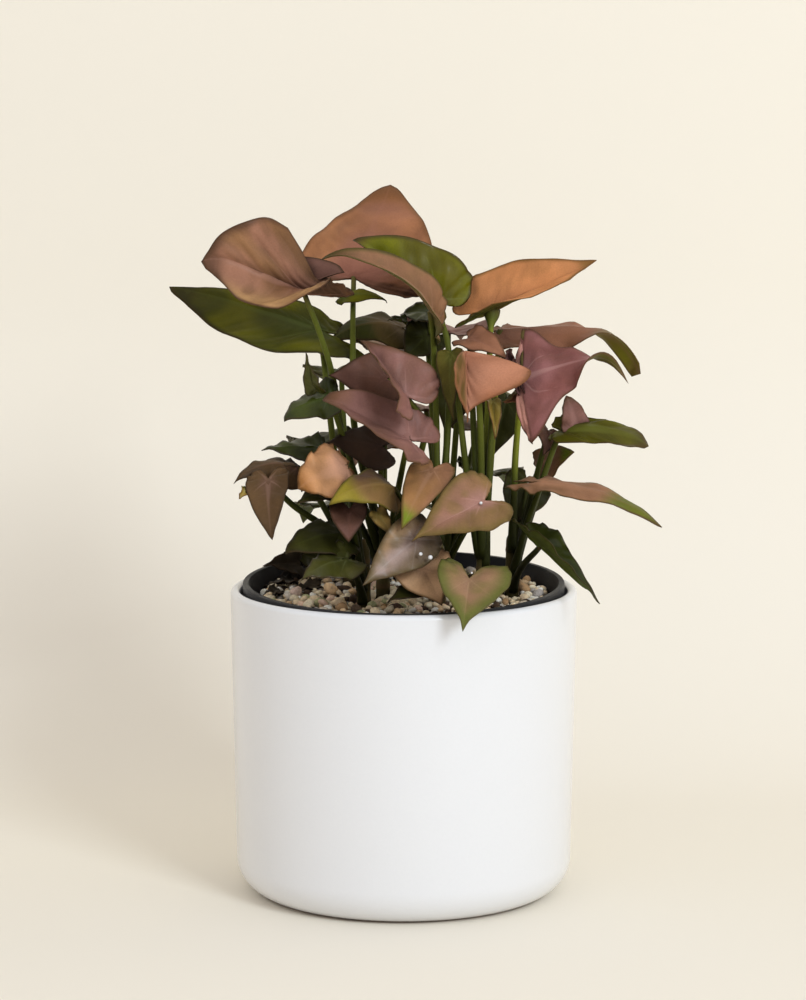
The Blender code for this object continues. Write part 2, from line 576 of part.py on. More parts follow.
def blade_mesh(leaf):
    """Closed thin blade: rings round the leaf joint, with the same triangles above and below."""
    big = np.linalg.norm(np.subtract(leaf.tip, leaf.joint)) > BIG_BLADE
    half = HALF_OUTLINE if big else SMALL_HALF_OUTLINE
    rings = BIG_RINGS if big else SMALL_RINGS
    edge = list(half) + [(a, -b) for a, b in reversed(half[1:-1])]
    count = len(edge)
    along, aside = [0.0], [0.0]
    for ring in rings:
        along += [a * ring for a, _ in edge]
        aside += [b * ring for _, b in edge]
    along, aside = np.array(along), np.array(aside)
    sheet = blade_sheet(leaf, along, aside)
    faces = [(0, 1 + i, 1 + (i + 1) % count) for i in range(count)]
    for ring in range(len(rings) - 1):
        inner, outer = 1 + ring * count, 1 + (ring + 1) * count
        for i in range(count):
            j = (i + 1) % count
            quad = (inner + i, outer + i, outer + j, inner + j)
            if i < count // 2:
                faces += [(quad[0], quad[1], quad[2]), (quad[0], quad[2], quad[3])]
            else:
                faces += [(quad[0], quad[1], quad[3]), (quad[1], quad[2], quad[3])]
    normals = np.zeros_like(sheet)
    for a, b, c in faces:
        area = np.cross(sheet[b] - sheet[a], sheet[c] - sheet[a])
        normals[[a, b, c]] += area
    normals /= np.linalg.norm(normals, axis=1)[:, None]
    rib = np.where(np.abs(aside) < 1e-6, RIB_DEPTH * np.clip(1 - along, 0, 1), 0.0)
    above = sheet + normals * BLADE_THICKNESS / 2
    below = sheet - normals * (BLADE_THICKNESS / 2 + rib)[:, None]
    total = len(sheet)
    rim = total - count
    solid = faces + [(c + total, b + total, a + total) for a, b, c in faces]
    for i in range(count):
        j = (i + 1) % count
        top = (rim + i, rim + j)
        solid += [(top[1], top[0], top[0] + total), (top[1], top[0] + total, top[1] + total)]
    return closed_mesh("blade", np.vstack([above, below]) * MM, solid)


def closed_mesh(name, points, faces):
    """A mesh with its faces turned outward."""
    mesh = bpy.data.meshes.new(name)
    mesh.from_pydata([tuple(p) for p in points], [], faces)
    shape = bmesh.new()
    shape.from_mesh(mesh)
    bmesh.ops.recalc_face_normals(shape, faces=shape.faces)
    shape.to_mesh(mesh)
    shape.free()
    return mesh


def smooth_way(points, spans):
    """A smooth curve through the points, as evenly timed samples."""
    points = [np.array(p, float) for p in points]
    points = [2 * points[0] - points[1]] + points + [2 * points[-1] - points[-2]]
    runs = len(points) - 3
    way = []
    for k in range(spans + 1):
        place = min(k * runs / spans, runs - 1e-9)
        i = int(place)
        t = place - i
        a, b, c, d = points[i:i + 4]
        way.append(0.5 * (2 * b + (c - a) * t + (2 * a - 5 * b + 4 * c - d) * t ** 2
                          + (3 * b - a - 3 * c + d) * t ** 3))
    return np.array(way)


def petiole_way(leaf, stem, level, spans):
    """The petiole's middle line, from the stem up to the leaf joint, in millimetres."""
    joint = np.array(leaf.joint, float)
    toward = unit((joint[0] - stem.x, joint[1] - stem.y, 0.0))
    root = np.array([stem.x, stem.y, level + leaf.root]) + toward * STEM_TOP_RADIUS * PETIOLE_OFF_AXIS
    if leaf.via:
        return smooth_way([root] + [np.array(v, float) for v in reversed(leaf.via)] + [joint], spans)
    reach = joint - root
    rise = np.array([0, 0, 1.0])
    flat = reach * (1, 1, 0)
    distance = np.linalg.norm(reach)
    leave = root + distance * PETIOLE_LEAVES_AT * unit(rise + PETIOLE_LEAN * flat)
    inward = rise * PETIOLE_END_RISE + flat / max(distance, 1.0) * PETIOLE_END_REACH
    arrive = joint - distance * PETIOLE_ARRIVES_AT * unit(inward)
    t = np.linspace(0, 1, spans + 1)[:, None]
    return ((1 - t) ** 3 * root + 3 * (1 - t) ** 2 * t * leave
            + 3 * (1 - t) * t ** 2 * arrive + t ** 3 * joint)


def tube_mesh(way, foot_radius, top_radius, sides):
    """A closed tube along a line, with flat ends."""
    count = len(way)
    side = unit(np.cross(way[1] - way[0], (0.31, 0.95, 0.05)))
    points = []
    for k, place in enumerate(way):
        ahead = unit(way[min(k + 1, count - 1)] - way[max(k - 1, 0)])
        side = unit(side - ahead * (side @ ahead))
        other = np.cross(ahead, side)
        radius = foot_radius + (top_radius - foot_radius) * k / (count - 1)
        for turn in range(sides):
            angle = 2 * math.pi * turn / sides
            points.append(place + radius * (math.cos(angle) * side + math.sin(angle) * other))
    faces = [tuple(range(sides)), tuple((count - 1) * sides + i for i in range(sides))]
    for k in range(count - 1):
        for turn in range(sides):
            after = (turn + 1) % sides
            a, b = k * sides + turn, k * sides + after
            faces += [(a, b, b + sides), (a, b + sides, a + sides)]
    return closed_mesh("tube", np.array(points) * MM, faces)


def make_leafy_stem(name, stem, paint):
    """One plantlet: stem, petioles and blades, joined into one solid."""
    level = soil_level(stem.x * MM, stem.y * MM) / MM
    foot = np.array([stem.x, stem.y, level - STEM_BURIED])
    top = np.array([stem.x, stem.y, level + stem.height])
    trunk_way = np.array([foot, foot + (0, 0, STEM_BURIED), top])
    trunk = object_from(name, tube_mesh(trunk_way, STEM_FOOT_RADIUS, STEM_TOP_RADIUS, STEM_SIDES), paint)
    growth = bpy.data.collections.new("growth")
    bpy.context.scene.collection.children.link(growth)
    for leaf in stem.leaves:
        way = petiole_way(leaf, stem, level, PETIOLE_SPANS)
        petiole = tube_mesh(way, PETIOLE_FOOT_RADIUS, PETIOLE_TOP_RADIUS, PETIOLE_SIDES)
        for mesh in (petiole, blade_mesh(leaf)):
            growth.objects.link(bpy.data.objects.new("growth", mesh))
    join = trunk.modifiers.new("join", "BOOLEAN")
    join.operation = "UNION"
    join.operand_type = "COLLECTION"
    join.collection = growth
    join.solver = "MANIFOLD"
    apply_modifiers(trunk)
    drop_scraps(trunk.data)
    for thing in list(growth.objects):
        bpy.data.objects.remove(thing, do_unlink=True)
    bpy.data.collections.remove(growth)
    trunk.data.materials.clear()
    trunk.data.materials.append(paint)


def drop_scraps(mesh):
    """Keep the largest body, without the loose scraps that a tight fold leaves behind."""
    shape = bmesh.new()
    shape.from_mesh(mesh)
    waiting = set(shape.verts)
    bodies = []
    while waiting:
        body = set()
        front = [waiting.pop()]
        while front:
            corner = front.pop()
            body.add(corner)
            beside = {edge.other_vert(corner) for edge in corner.link_edges} & waiting
            waiting -= beside
            front += beside
        bodies.append(body)
    bodies.sort(key=len)
    for scrap in bodies[:-1]:
        bmesh.ops.delete(shape, geom=list(scrap), context="VERTS")
    shape.to_mesh(mesh)
    shape.free()


def main():
    """Build every piece."""
    clear_scene()
    make_cachepot()
    make_nursery_pot()
    make_potting_mix()
    make_pumice()
    leaf_paint = material("arrowhead_leaf", (0.27, 0.13, 0.1), 0.4)
    for name, stem in STEMS.items():
        make_leafy_stem(name, stem, leaf_paint)


main()
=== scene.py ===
import math
from dataclasses import dataclass

import bmesh
import bpy
import numpy as np
from bpy.props import FloatProperty, FloatVectorProperty, IntProperty, IntVectorProperty, PointerProperty
from mathutils import Matrix, Vector, noise


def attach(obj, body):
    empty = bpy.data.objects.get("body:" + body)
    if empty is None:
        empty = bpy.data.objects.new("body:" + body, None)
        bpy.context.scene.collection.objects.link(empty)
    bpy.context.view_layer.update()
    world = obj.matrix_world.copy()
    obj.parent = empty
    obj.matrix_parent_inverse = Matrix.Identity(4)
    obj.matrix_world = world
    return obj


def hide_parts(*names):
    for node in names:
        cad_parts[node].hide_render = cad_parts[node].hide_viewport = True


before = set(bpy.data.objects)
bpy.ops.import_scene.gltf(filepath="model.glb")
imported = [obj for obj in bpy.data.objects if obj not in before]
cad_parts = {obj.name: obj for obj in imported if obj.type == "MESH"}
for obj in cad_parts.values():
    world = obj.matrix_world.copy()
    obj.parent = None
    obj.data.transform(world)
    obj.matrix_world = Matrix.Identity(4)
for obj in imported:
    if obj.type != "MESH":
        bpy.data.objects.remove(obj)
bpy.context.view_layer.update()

bl_info = {
    "name": "Potted Arrowhead Plant",
    "version": (1, 0, 0),
    "blender": (4, 5, 0),
    "location": "3D View > Sidebar > Arrowhead Plant",
    "description": "Builds an arrowhead plant, its pots and its pumice on a packed frame",
    "category": "Object",
}

MM = 0.001

# The frame's own sizes, in metres
POT_HEIGHT = 0.133
POT_RADIUS = 0.075
POT_TAPER = 0.0021
POT_WALL = 0.0043
POT_FLOOR = 0.0045
POT_CORNER = 0.0155
LINER_TOP_RADIUS = 0.0684
LINER_FOOT_RADIUS = 0.047
LINER_HEIGHT = 0.129
LINER_WALL = 0.0012
LINER_LIP = 0.0012
LINER_LIP_DEPTH = 0.007
LINER_LIP_INSET = 0.0017
LINER_TILT = math.radians(2.5)
LINER_RIM_CENTRE = (0.0, -0.0005, 0.1358)
DRAIN_RADIUS = 0.004
DRAIN_RING = 0.033
DRAIN_COUNT = 6
DRAIN_SIDES = 24
DRILL_DEPTH = 0.01
WELD = 0.000001
SHARP_FROM = math.radians(50)
SOIL_BELOW_RIM = 0.0085
SOIL_CLEARANCE = 0.0006
SOIL_LEVEL = LINER_HEIGHT - SOIL_BELOW_RIM
SOIL_FLOOR = LINER_WALL + SOIL_CLEARANCE
SOIL_SIDES = 120
SOIL_RINGS = 44
SOIL_WALL_RINGS = 6
CRUMB_SINK = 0.0006
GRAIN_SPREAD = 0.34
GRAIN_LIMITS = (0.0017, 0.0062)
GRAIN_NEAR = 0.007
GRAIN_PACKING = 0.39
GRAIN_TRIES = 60000

# Stage and camera, in metres
SWEEP_HALF_WIDTH = 2.6
SWEEP_FRONT = -2.2
SWEEP_BEND_AT = 0.16
SWEEP_BEND = 0.24
SWEEP_HEIGHT = 2.6
KEY_PLACE = (1.47, -2.37, 1.52)
KEY_SIZE = 0.85
KEY_COLOUR = (0.84, 0.92, 1.0)
KEY_AIM = (0, 0, 0.15)
FILL_COLOUR = (1.0, 0.98, 1.01, 1.0)
CAMERA_PLACE = (-0.0003, -1.407, 0.362)
CAMERA_PITCH = math.radians(7.73)
CAMERA_LENS = 118.4
CAMERA_SENSOR = 36.0
CAMERA_REACH = 20.0

# Stems, petioles and blades, in millimetres
STEM_FOOT_RADIUS = 3.5
STEM_TOP_RADIUS = 2.4
STEM_BURIED = 22.0
PETIOLE_FOOT_RADIUS = 1.7
PETIOLE_TOP_RADIUS = 1.15
PETIOLE_LEAVES_AT = 0.38
PETIOLE_ARRIVES_AT = 0.22
PETIOLE_OFF_AXIS = 0.6
PETIOLE_LEAN = 0.016
PETIOLE_END_RISE = 0.8
PETIOLE_END_REACH = 1.2
PETIOLE_STEPS = 30
PETIOLE_SIDES = 10
STEM_STEPS = 40
STEM_SIDES = 16
STEM_KNOTS = 38
MIDRIB_STEPS = 40
FOLD_TURN = 0.65
DRIP_START = 0.7
CURL_START = 0.65
TWIST_START = 0.5
FULL_TURN = 5.0
SWEEP_TURN = 8.0
SWEEP_START = 0.6
NO_LOBE = 3.0
WAIST_AT = 0.4
RIPPLE_SHIFT = 0.4
VEIN_LEAN = 0.55
VEIN_CURVE = 0.012
VEIN_SPACING = 6.5
LATERAL_LEAN = 0.95
LATERAL_CURVE = 0.016
NO_VEIN = 30.0
BASAL_VEIN = (-0.8, 0.52)
BLADE_STEP = 1.7
RING_STEP = 2.0
RING_EASE = 0.9
HALF_THICKNESS = 0.3
RIM_THINNING = 0.45
RIB_DEPTH = 0.75
RIB_WIDTH = 0.8
GROOVE_DEPTH = 0.3
GROOVE_WIDTH = 2.2
PILLOW_DEPTH = 0.1
SWELL_DEPTH = 0.9
# share of painted light and shade on the blades' swells and hollows
FOLD_LIGHT_AND_SHADE = 0.2

# Half of a blade's outline, tip to sinus: along the midrib in blade lengths, or lobe lengths
# behind the leaf joint, and sideways in half widths.
HALF_OUTLINE = (
    (1.0, 0.0), (0.84, 0.17), (0.62, 0.5), (0.34, 0.84), (0.06, 1.0),
    (-0.42, 0.95), (-0.9, 0.66), (-0.9, 0.34), (-0.12, 0.0),
)


@dataclass
class Leaf:
    """One leaf: where its blade starts and ends, how it lies, and its petiole's way to the stem."""

    joint: tuple
    tip: tuple
    face: tuple
    width: float
    lobe: float
    fold: tuple = (15, 15)
    lobe_fold: tuple = (10, 10)
    arch: float = 20
    curl: float = 20
    droop: float = 10
    twist: float = 0
    wave: float = 1.0
    waves: float = 2.0
    halves: tuple = (1.0, 1.0)
    full: tuple = (1.0, 1.0)
    sweep: tuple = (0.0, 0.0)
    waist: tuple = (0.0, 0.0)
    turn_at: float = -0.08
    drip: float = 0.0
    via: tuple = ()
    root: float = 12


@dataclass
class LeafyStem:
    """One plantlet: where its stem stands, how tall it is, and its leaves."""

    x: float
    y: float
    height: float
    leaves: tuple


STEMS = {
    "leafy_stem_left": LeafyStem(-17, -18, 30, (
        # folded bronze leaf at the upper left
        Leaf((-42, -13, 262), (-85, -22, 275), (-0.15, -0.55, 0.83), 53, 22, (-15, 64), (58, 46),
             halves=(0.86, 0.32), full=(0.45, 1.05), sweep=(0, 19), waist=(0.0, -1.7),
             turn_at=0.18, arch=6, curl=70, droop=-28, wave=1.2, via=((-31, -7, 228), (-26, -5, 195)),
             root=22),
        # hanging brown leaf at the far left and the arched one behind it
        Leaf((-57, -34, 184), (-55, -50, 161), (-0.2, -0.9, 0.35), 19, 7, (14, 14), (0, 0),
             full=(0.8, 0.8), arch=20, curl=15, via=((-47, -24, 172), (-30, -17, 158)), root=10),
        Leaf((-45, -12, 187), (-72, -30, 182), (-0.2, -0.45, 0.87), 22, 7, (-52, -10), (-45, 0),
             arch=60, curl=20, root=12),
        # crinkled orange leaf
        Leaf((-24, -36, 190), (-44, -47, 182), (-0.1, -0.85, 0.5), 27, 5, (-15, 0), (-20, -10),
             full=(0.5, 0.5), arch=35, curl=50, wave=2.0, waves=2.5, root=14),
        # small dark leaf under the orange one
        Leaf((-29, -34, 181), (-45, -43, 175), (0.0, -0.6, 0.8), 15, 6, (-10, -10), arch=30, root=10),
        # low dark leaves at the left
        Leaf((-27, -31, 161), (-50, -43, 154), (-0.1, -0.6, 0.8), 25, 8, (-14, -10), (-10, -10),
             full=(0.8, 0.8), arch=45, root=6),
        Leaf((-24, -43, 152), (-43, -56, 145), (0.0, -0.6, 0.8), 21, 7, (-20, -10), arch=40, root=3),
        # maroon leaf that hangs under the arched hood
        Leaf((-23, -42, 173), (-23, -50, 160), (-0.1, -0.95, 0.3), 16, 4, (8, 8), full=(0.8, 0.8),
             arch=15, root=8),
    )),
    "leafy_stem_middle_left": LeafyStem(-9, 4, 34, (
        # terracotta leaf at the top
        Leaf((-22, 38, 265), (-6, 73, 304), (-0.05, -0.75, 0.65), 70, 5, (-20, 4), (-10, 0),
             halves=(0.95, 1.0), full=(0.6, 0.62), arch=14, curl=-15, wave=1.2,
             via=((-22, 13, 238), (-21, 6, 200)), root=26),
        # dusty pink leaf in the middle
        Leaf((1, -45, 221), (-18, -36, 244), (0.15, -0.93, 0.3), 34, 9, (74, 4), (50, -5),
             halves=(1.0, 0.95), full=(1.3, 1.1), arch=8, curl=45, wave=1.0,
             via=((9, -27, 205), (3, -8, 180)), root=20),
        # maroon leaf behind it
        Leaf((-8, -14, 225), (-32, -20, 227), (-0.05, -0.9, 0.45), 24, 8, (-5, 5), arch=20, root=18),
        # large pink leaf
        Leaf((2, -45, 203), (-34, -38, 219), (0.1, -0.8, 0.6), 33, 12, (45, 4), (30, 0),
             halves=(1.0, 0.85), full=(0.6, 0.4), arch=10, curl=25, wave=1.2, root=14),
        # dark glossy leaf at the left
        Leaf((-32, -20, 218), (-51, -26, 208), (-0.3, -0.5, 0.8), 19, 6, (-35, -5), (-10, 40),
             full=(0.7, 0.8), arch=40, curl=30, root=20),
        # dark green leaf above the brown ones
        Leaf((-37, -2, 194), (-61, -10, 194), (-0.1, -0.6, 0.8), 18, 5, (-10, -20), arch=25, root=14),
        # dark leaf in the shade of the pink one, painted a dim brown as painted shade
        Leaf((-10, -13, 196), (-33, -17, 198), (0, -0.75, 0.65), 24, 7, (-10, -10), arch=30, root=14),
    )),
    "leafy_stem_middle": LeafyStem(15, -14, 30, (
        # pinkish tan leaf under the glossy one
        Leaf((12, -17, 254), (-35, -25, 277), (-0.1, -0.75, 0.66), 24, 16, (45, 8), (20, 10),
             halves=(0.9, 0.9), full=(0.8, 0.8), arch=98, curl=25,
             via=((13, -9, 232), (14, -11, 200)), root=22),
        # glossy green leaf at the top
        Leaf((12, 12, 256), (-22, 16, 282), (0.46, -0.7, 0.54), 42, 10, (42, 42), (30, 35),
             full=(0.75, 0.75), arch=22, curl=20, via=((19, 0, 238), (19, -7, 205)), root=26),
        # bronze leaf with a green tip
        Leaf((12, -44, 190), (-1, -62, 167), (0.0, -0.9, 0.44), 19, 7, (10, -10), (10, -20),
             full=(0.8, 0.8), arch=20, curl=20, root=12),
        # pink heart leaf
        Leaf((33, -54, 178), (3, -68, 163), (0.0, -0.8, 0.6), 30, 9, (8, 4), (10, 5),
             full=(1.3, 1.2), arch=12, curl=10, wave=0.8, root=10),
        # silvery leaf low in front
        Leaf((5, -56, 162), (-17, -71, 145), (0.1, -0.85, 0.5), 22, 12, (-12, 8), (-10, 10),
             arch=20, curl=10, wave=0.6, root=6),
        # brown leaf that hangs below it, painted far paler than its own brown as painted light against the
        # shade of the silvery leaf
        Leaf((8, -50, 149), (16, -61, 135), (0.0, -0.9, 0.4), 25, 6, (8, 8), arch=15, root=3),
        # dark leaf on the grains under it
        Leaf((12, -45, 141), (-7, -57, 136), (0.0, -0.5, 0.85), 16, 5, (-5, -5), arch=20, root=6),
        # pink and green leaf over the front rim
        Leaf((27, -66, 147), (24, -88, 129), (0.05, -0.85, 0.55), 28, 10, (10, 14), (16, 20),
             halves=(1.25, 1.0), full=(1.2, 1.2), arch=25, curl=10, wave=0.8, root=4),
        # bronze and olive hood
        Leaf((-4, -40, 182), (-31, -60, 177), (-0.1, -0.7, 0.7), 24, 8, (-30, -10), (-40, -10),
             full=(0.8, 0.8), arch=75, curl=10, root=12),
        # olive leaf beside it
        Leaf((-11, -46, 172), (-4, -52, 162), (0.2, -0.9, 0.4), 8, 2, (5, 5), arch=10, root=8),
    )),
    "leafy_stem_right": LeafyStem(34, -6, 34, (
        # orange leaf at the upper right
        Leaf((38, 14, 252), (83, 8, 274), (0.05, -0.78, 0.62), 38, 17, (8, 34), (0, 75),
             halves=(1.0, 0.45), full=(0.85, 0.85), sweep=(0, 16), turn_at=0.24, arch=8, curl=-10,
             wave=1.0, via=((37, 3, 235), (36, -4, 205)), root=26),
        # orange triangular leaf
        Leaf((26, -30, 238), (27, -40, 209), (-0.1, -0.95, 0.3), 50, 2, (0, 80), (0, 80),
             halves=(1.08, 0.8), full=(3.2, 1.4), sweep=(10, 12), arch=8, curl=0, wave=0.5,
             via=((32, -22, 214),), root=20),
        # olive leaf behind it
        Leaf((20, -16, 236), (21, -25, 208), (-0.6, -0.75, 0.25), 13, 2, (5, 5), arch=12, root=20),
        # small pinkish brown leaf
        Leaf((28, 2, 241), (45, -12, 232), (0.1, -0.7, 0.7), 17, 5, (10, 10), arch=25, root=22),
        # long pink leaf with a green curled tip
        Leaf((42, 20, 243), (102, 6, 240), (0.05, -0.45, 0.88), 26, 8, (-26, -20), (-20, -10),
             twist=-80, full=(0.25, 0.35), arch=20, curl=20, drip=15, wave=1.6, waves=1.6, root=26),
        # hanging, unfurling leaf
        Leaf((38, -10, 215), (39, -16, 199), (0.3, -0.9, 0.3), 8, 2, (40, 40), arch=10, root=16),
    )),
    "leafy_stem_far_right": LeafyStem(47, 7, 30, (
        # mauve heart leaf with pale veins
        Leaf((50, -20, 226), (94, -36, 239), (-0.05, -0.88, 0.46), 58, 6, (-20, -4), (-20, -8),
             halves=(0.95, 1.0), full=(0.8, 0.7), sweep=(-8, -2), waist=(0.5, 0.45), twist=-165, arch=22,
             curl=15, drip=14, wave=0.8, via=((49, -6, 205), (48, 2, 185)), root=20),
        # long green leaf at the right
        Leaf((68, -2, 202), (105, -12, 196), (0.1, -0.6, 0.8), 16, 6, (-14, -12), (20, 0),
             full=(0.4, 0.4), sweep=(14, 12), turn_at=0.05, arch=45, curl=25, root=14),
        # dark purple leaf
        Leaf((63, 8, 200), (60, 0, 190), (0.4, -0.8, 0.4), 11, 3, (5, 5), root=12),
        # small olive brown leaf
        Leaf((59, 20, 183), (74, 8, 191), (0.2, -0.8, 0.55), 18, 6, (-10, -15), full=(0.7, 0.7), arch=45,
             root=10),
        # long bronze leaf at the lower right
        Leaf((59, -22, 182), (109, -38, 165), (0.1, -0.33, 0.94), 19, 16, (-15, -8), (-15, 0),
             full=(0.7, 0.6), arch=38, curl=5, wave=1.4, root=10),
        # dark green leaf at the lower right
        Leaf((58, -30, 156), (82, -50, 134), (0.35, -0.85, 0.4), 24, 15, (6, 75), (0, 60),
             halves=(0.85, 1.0), full=(0.9, 1.1), waist=(0.3, 0.0), arch=8, curl=5, root=3),
        # dark leaf behind the right side
        Leaf((54, 26, 173), (46, 16, 157), (0.2, -0.9, 0.3), 22, 7, (5, 5), arch=15, root=6),
    )),
    "leafy_stem_back_left": LeafyStem(-24, 30, 30, (
        # large green leaf at the upper left
        Leaf((-37, 24, 243), (-102, 24, 261), (0.05, -0.6, 0.8), 42, 24, (-4, 10), (12, -10),
             halves=(0.8, 0.5), full=(0.6, 0.9), sweep=(12, 4), waist=(-0.42, 0.0), arch=8, curl=15,
             wave=1.0, root=24),
        # olive leaf that arches in the middle
        Leaf((-1, 34, 243), (-33, 24, 236), (-0.1, -0.45, 0.88), 26, 8, (-25, -10), (-20, 0),
             full=(0.8, 0.8), arch=70, root=22),
        # leaves at the back
        Leaf((-28, 56, 222), (-34, 94, 210), (-0.2, 0.4, 0.85), 34, 12, arch=30, root=18),
        Leaf((-14, 62, 186), (-24, 98, 172), (-0.2, 0.5, 0.8), 36, 13, arch=30, root=12),
        Leaf((-34, 50, 162), (-46, 78, 150), (-0.3, 0.5, 0.8), 28, 10, arch=30, root=4),
        Leaf((-6, 60, 232), (-10, 94, 224), (0.0, 0.5, 0.85), 34, 12, arch=30, root=20),
        Leaf((-36, 52, 190), (-50, 80, 182), (-0.3, 0.4, 0.85), 30, 10, arch=35, root=10),
        Leaf((-12, 60, 148), (-18, 90, 140), (-0.1, 0.5, 0.8), 30, 10, arch=25, root=3),
    )),
    "leafy_stem_back_right": LeafyStem(18, 34, 32, (
        # dark leaf in the gap below the glossy one
        Leaf((11, 24, 250), (-2, 32, 249), (0.1, -0.6, 0.8), 18, 6, (10, 10), arch=20, root=22),
        # leaves at the back
        Leaf((20, 52, 240), (26, 92, 232), (0.1, 0.45, 0.88), 40, 14, arch=30, root=24),
        Leaf((44, 48, 212), (56, 80, 200), (0.3, 0.4, 0.85), 34, 13, arch=30, root=16),
        Leaf((10, 62, 204), (12, 98, 196), (0.0, 0.6, 0.8), 36, 13, arch=30, root=14),
        Leaf((38, 58, 176), (48, 90, 164), (0.3, 0.5, 0.8), 30, 11, arch=30, root=8),
        Leaf((14, 64, 160), (18, 90, 148), (0.1, 0.6, 0.8), 28, 10, arch=30, root=4),
        Leaf((34, 58, 196), (44, 90, 188), (0.2, 0.5, 0.85), 30, 11, arch=25, root=12),
        # dark leaves that hang behind the petioles
        Leaf((25, 14, 224), (18, 9, 198), (-0.1, -0.9, 0.3), 24, 7, (8, 8), arch=20, root=14),
        Leaf((45, 23, 212), (38, 16, 187), (0.1, -0.9, 0.3), 22, 7, (8, 8), arch=20, root=12),
        # dark leaf that hangs below the first one
        Leaf((10, 22, 240), (0, 16, 230), (-0.1, -0.9, 0.4), 20, 6, (8, 8), arch=20, root=18),
    )),
}


@dataclass
class Palette:
    """Colours of one leaf, as display values from 0 to 255, and where each of them lies."""

    main: tuple
    second: tuple
    base: tuple
    edge: tuple
    tip: tuple
    under: tuple
    vein: tuple
    tip_from: float = 0.8
    edge_from: float = 0.9
    left: tuple = ()
    right: tuple = ()
    lobes: tuple = ()
    veins: float = 0.35
    ribs: float = 0.25
    gloss: float = 0.3
    crinkle: float = 0.3
    mottle: float = 0.35


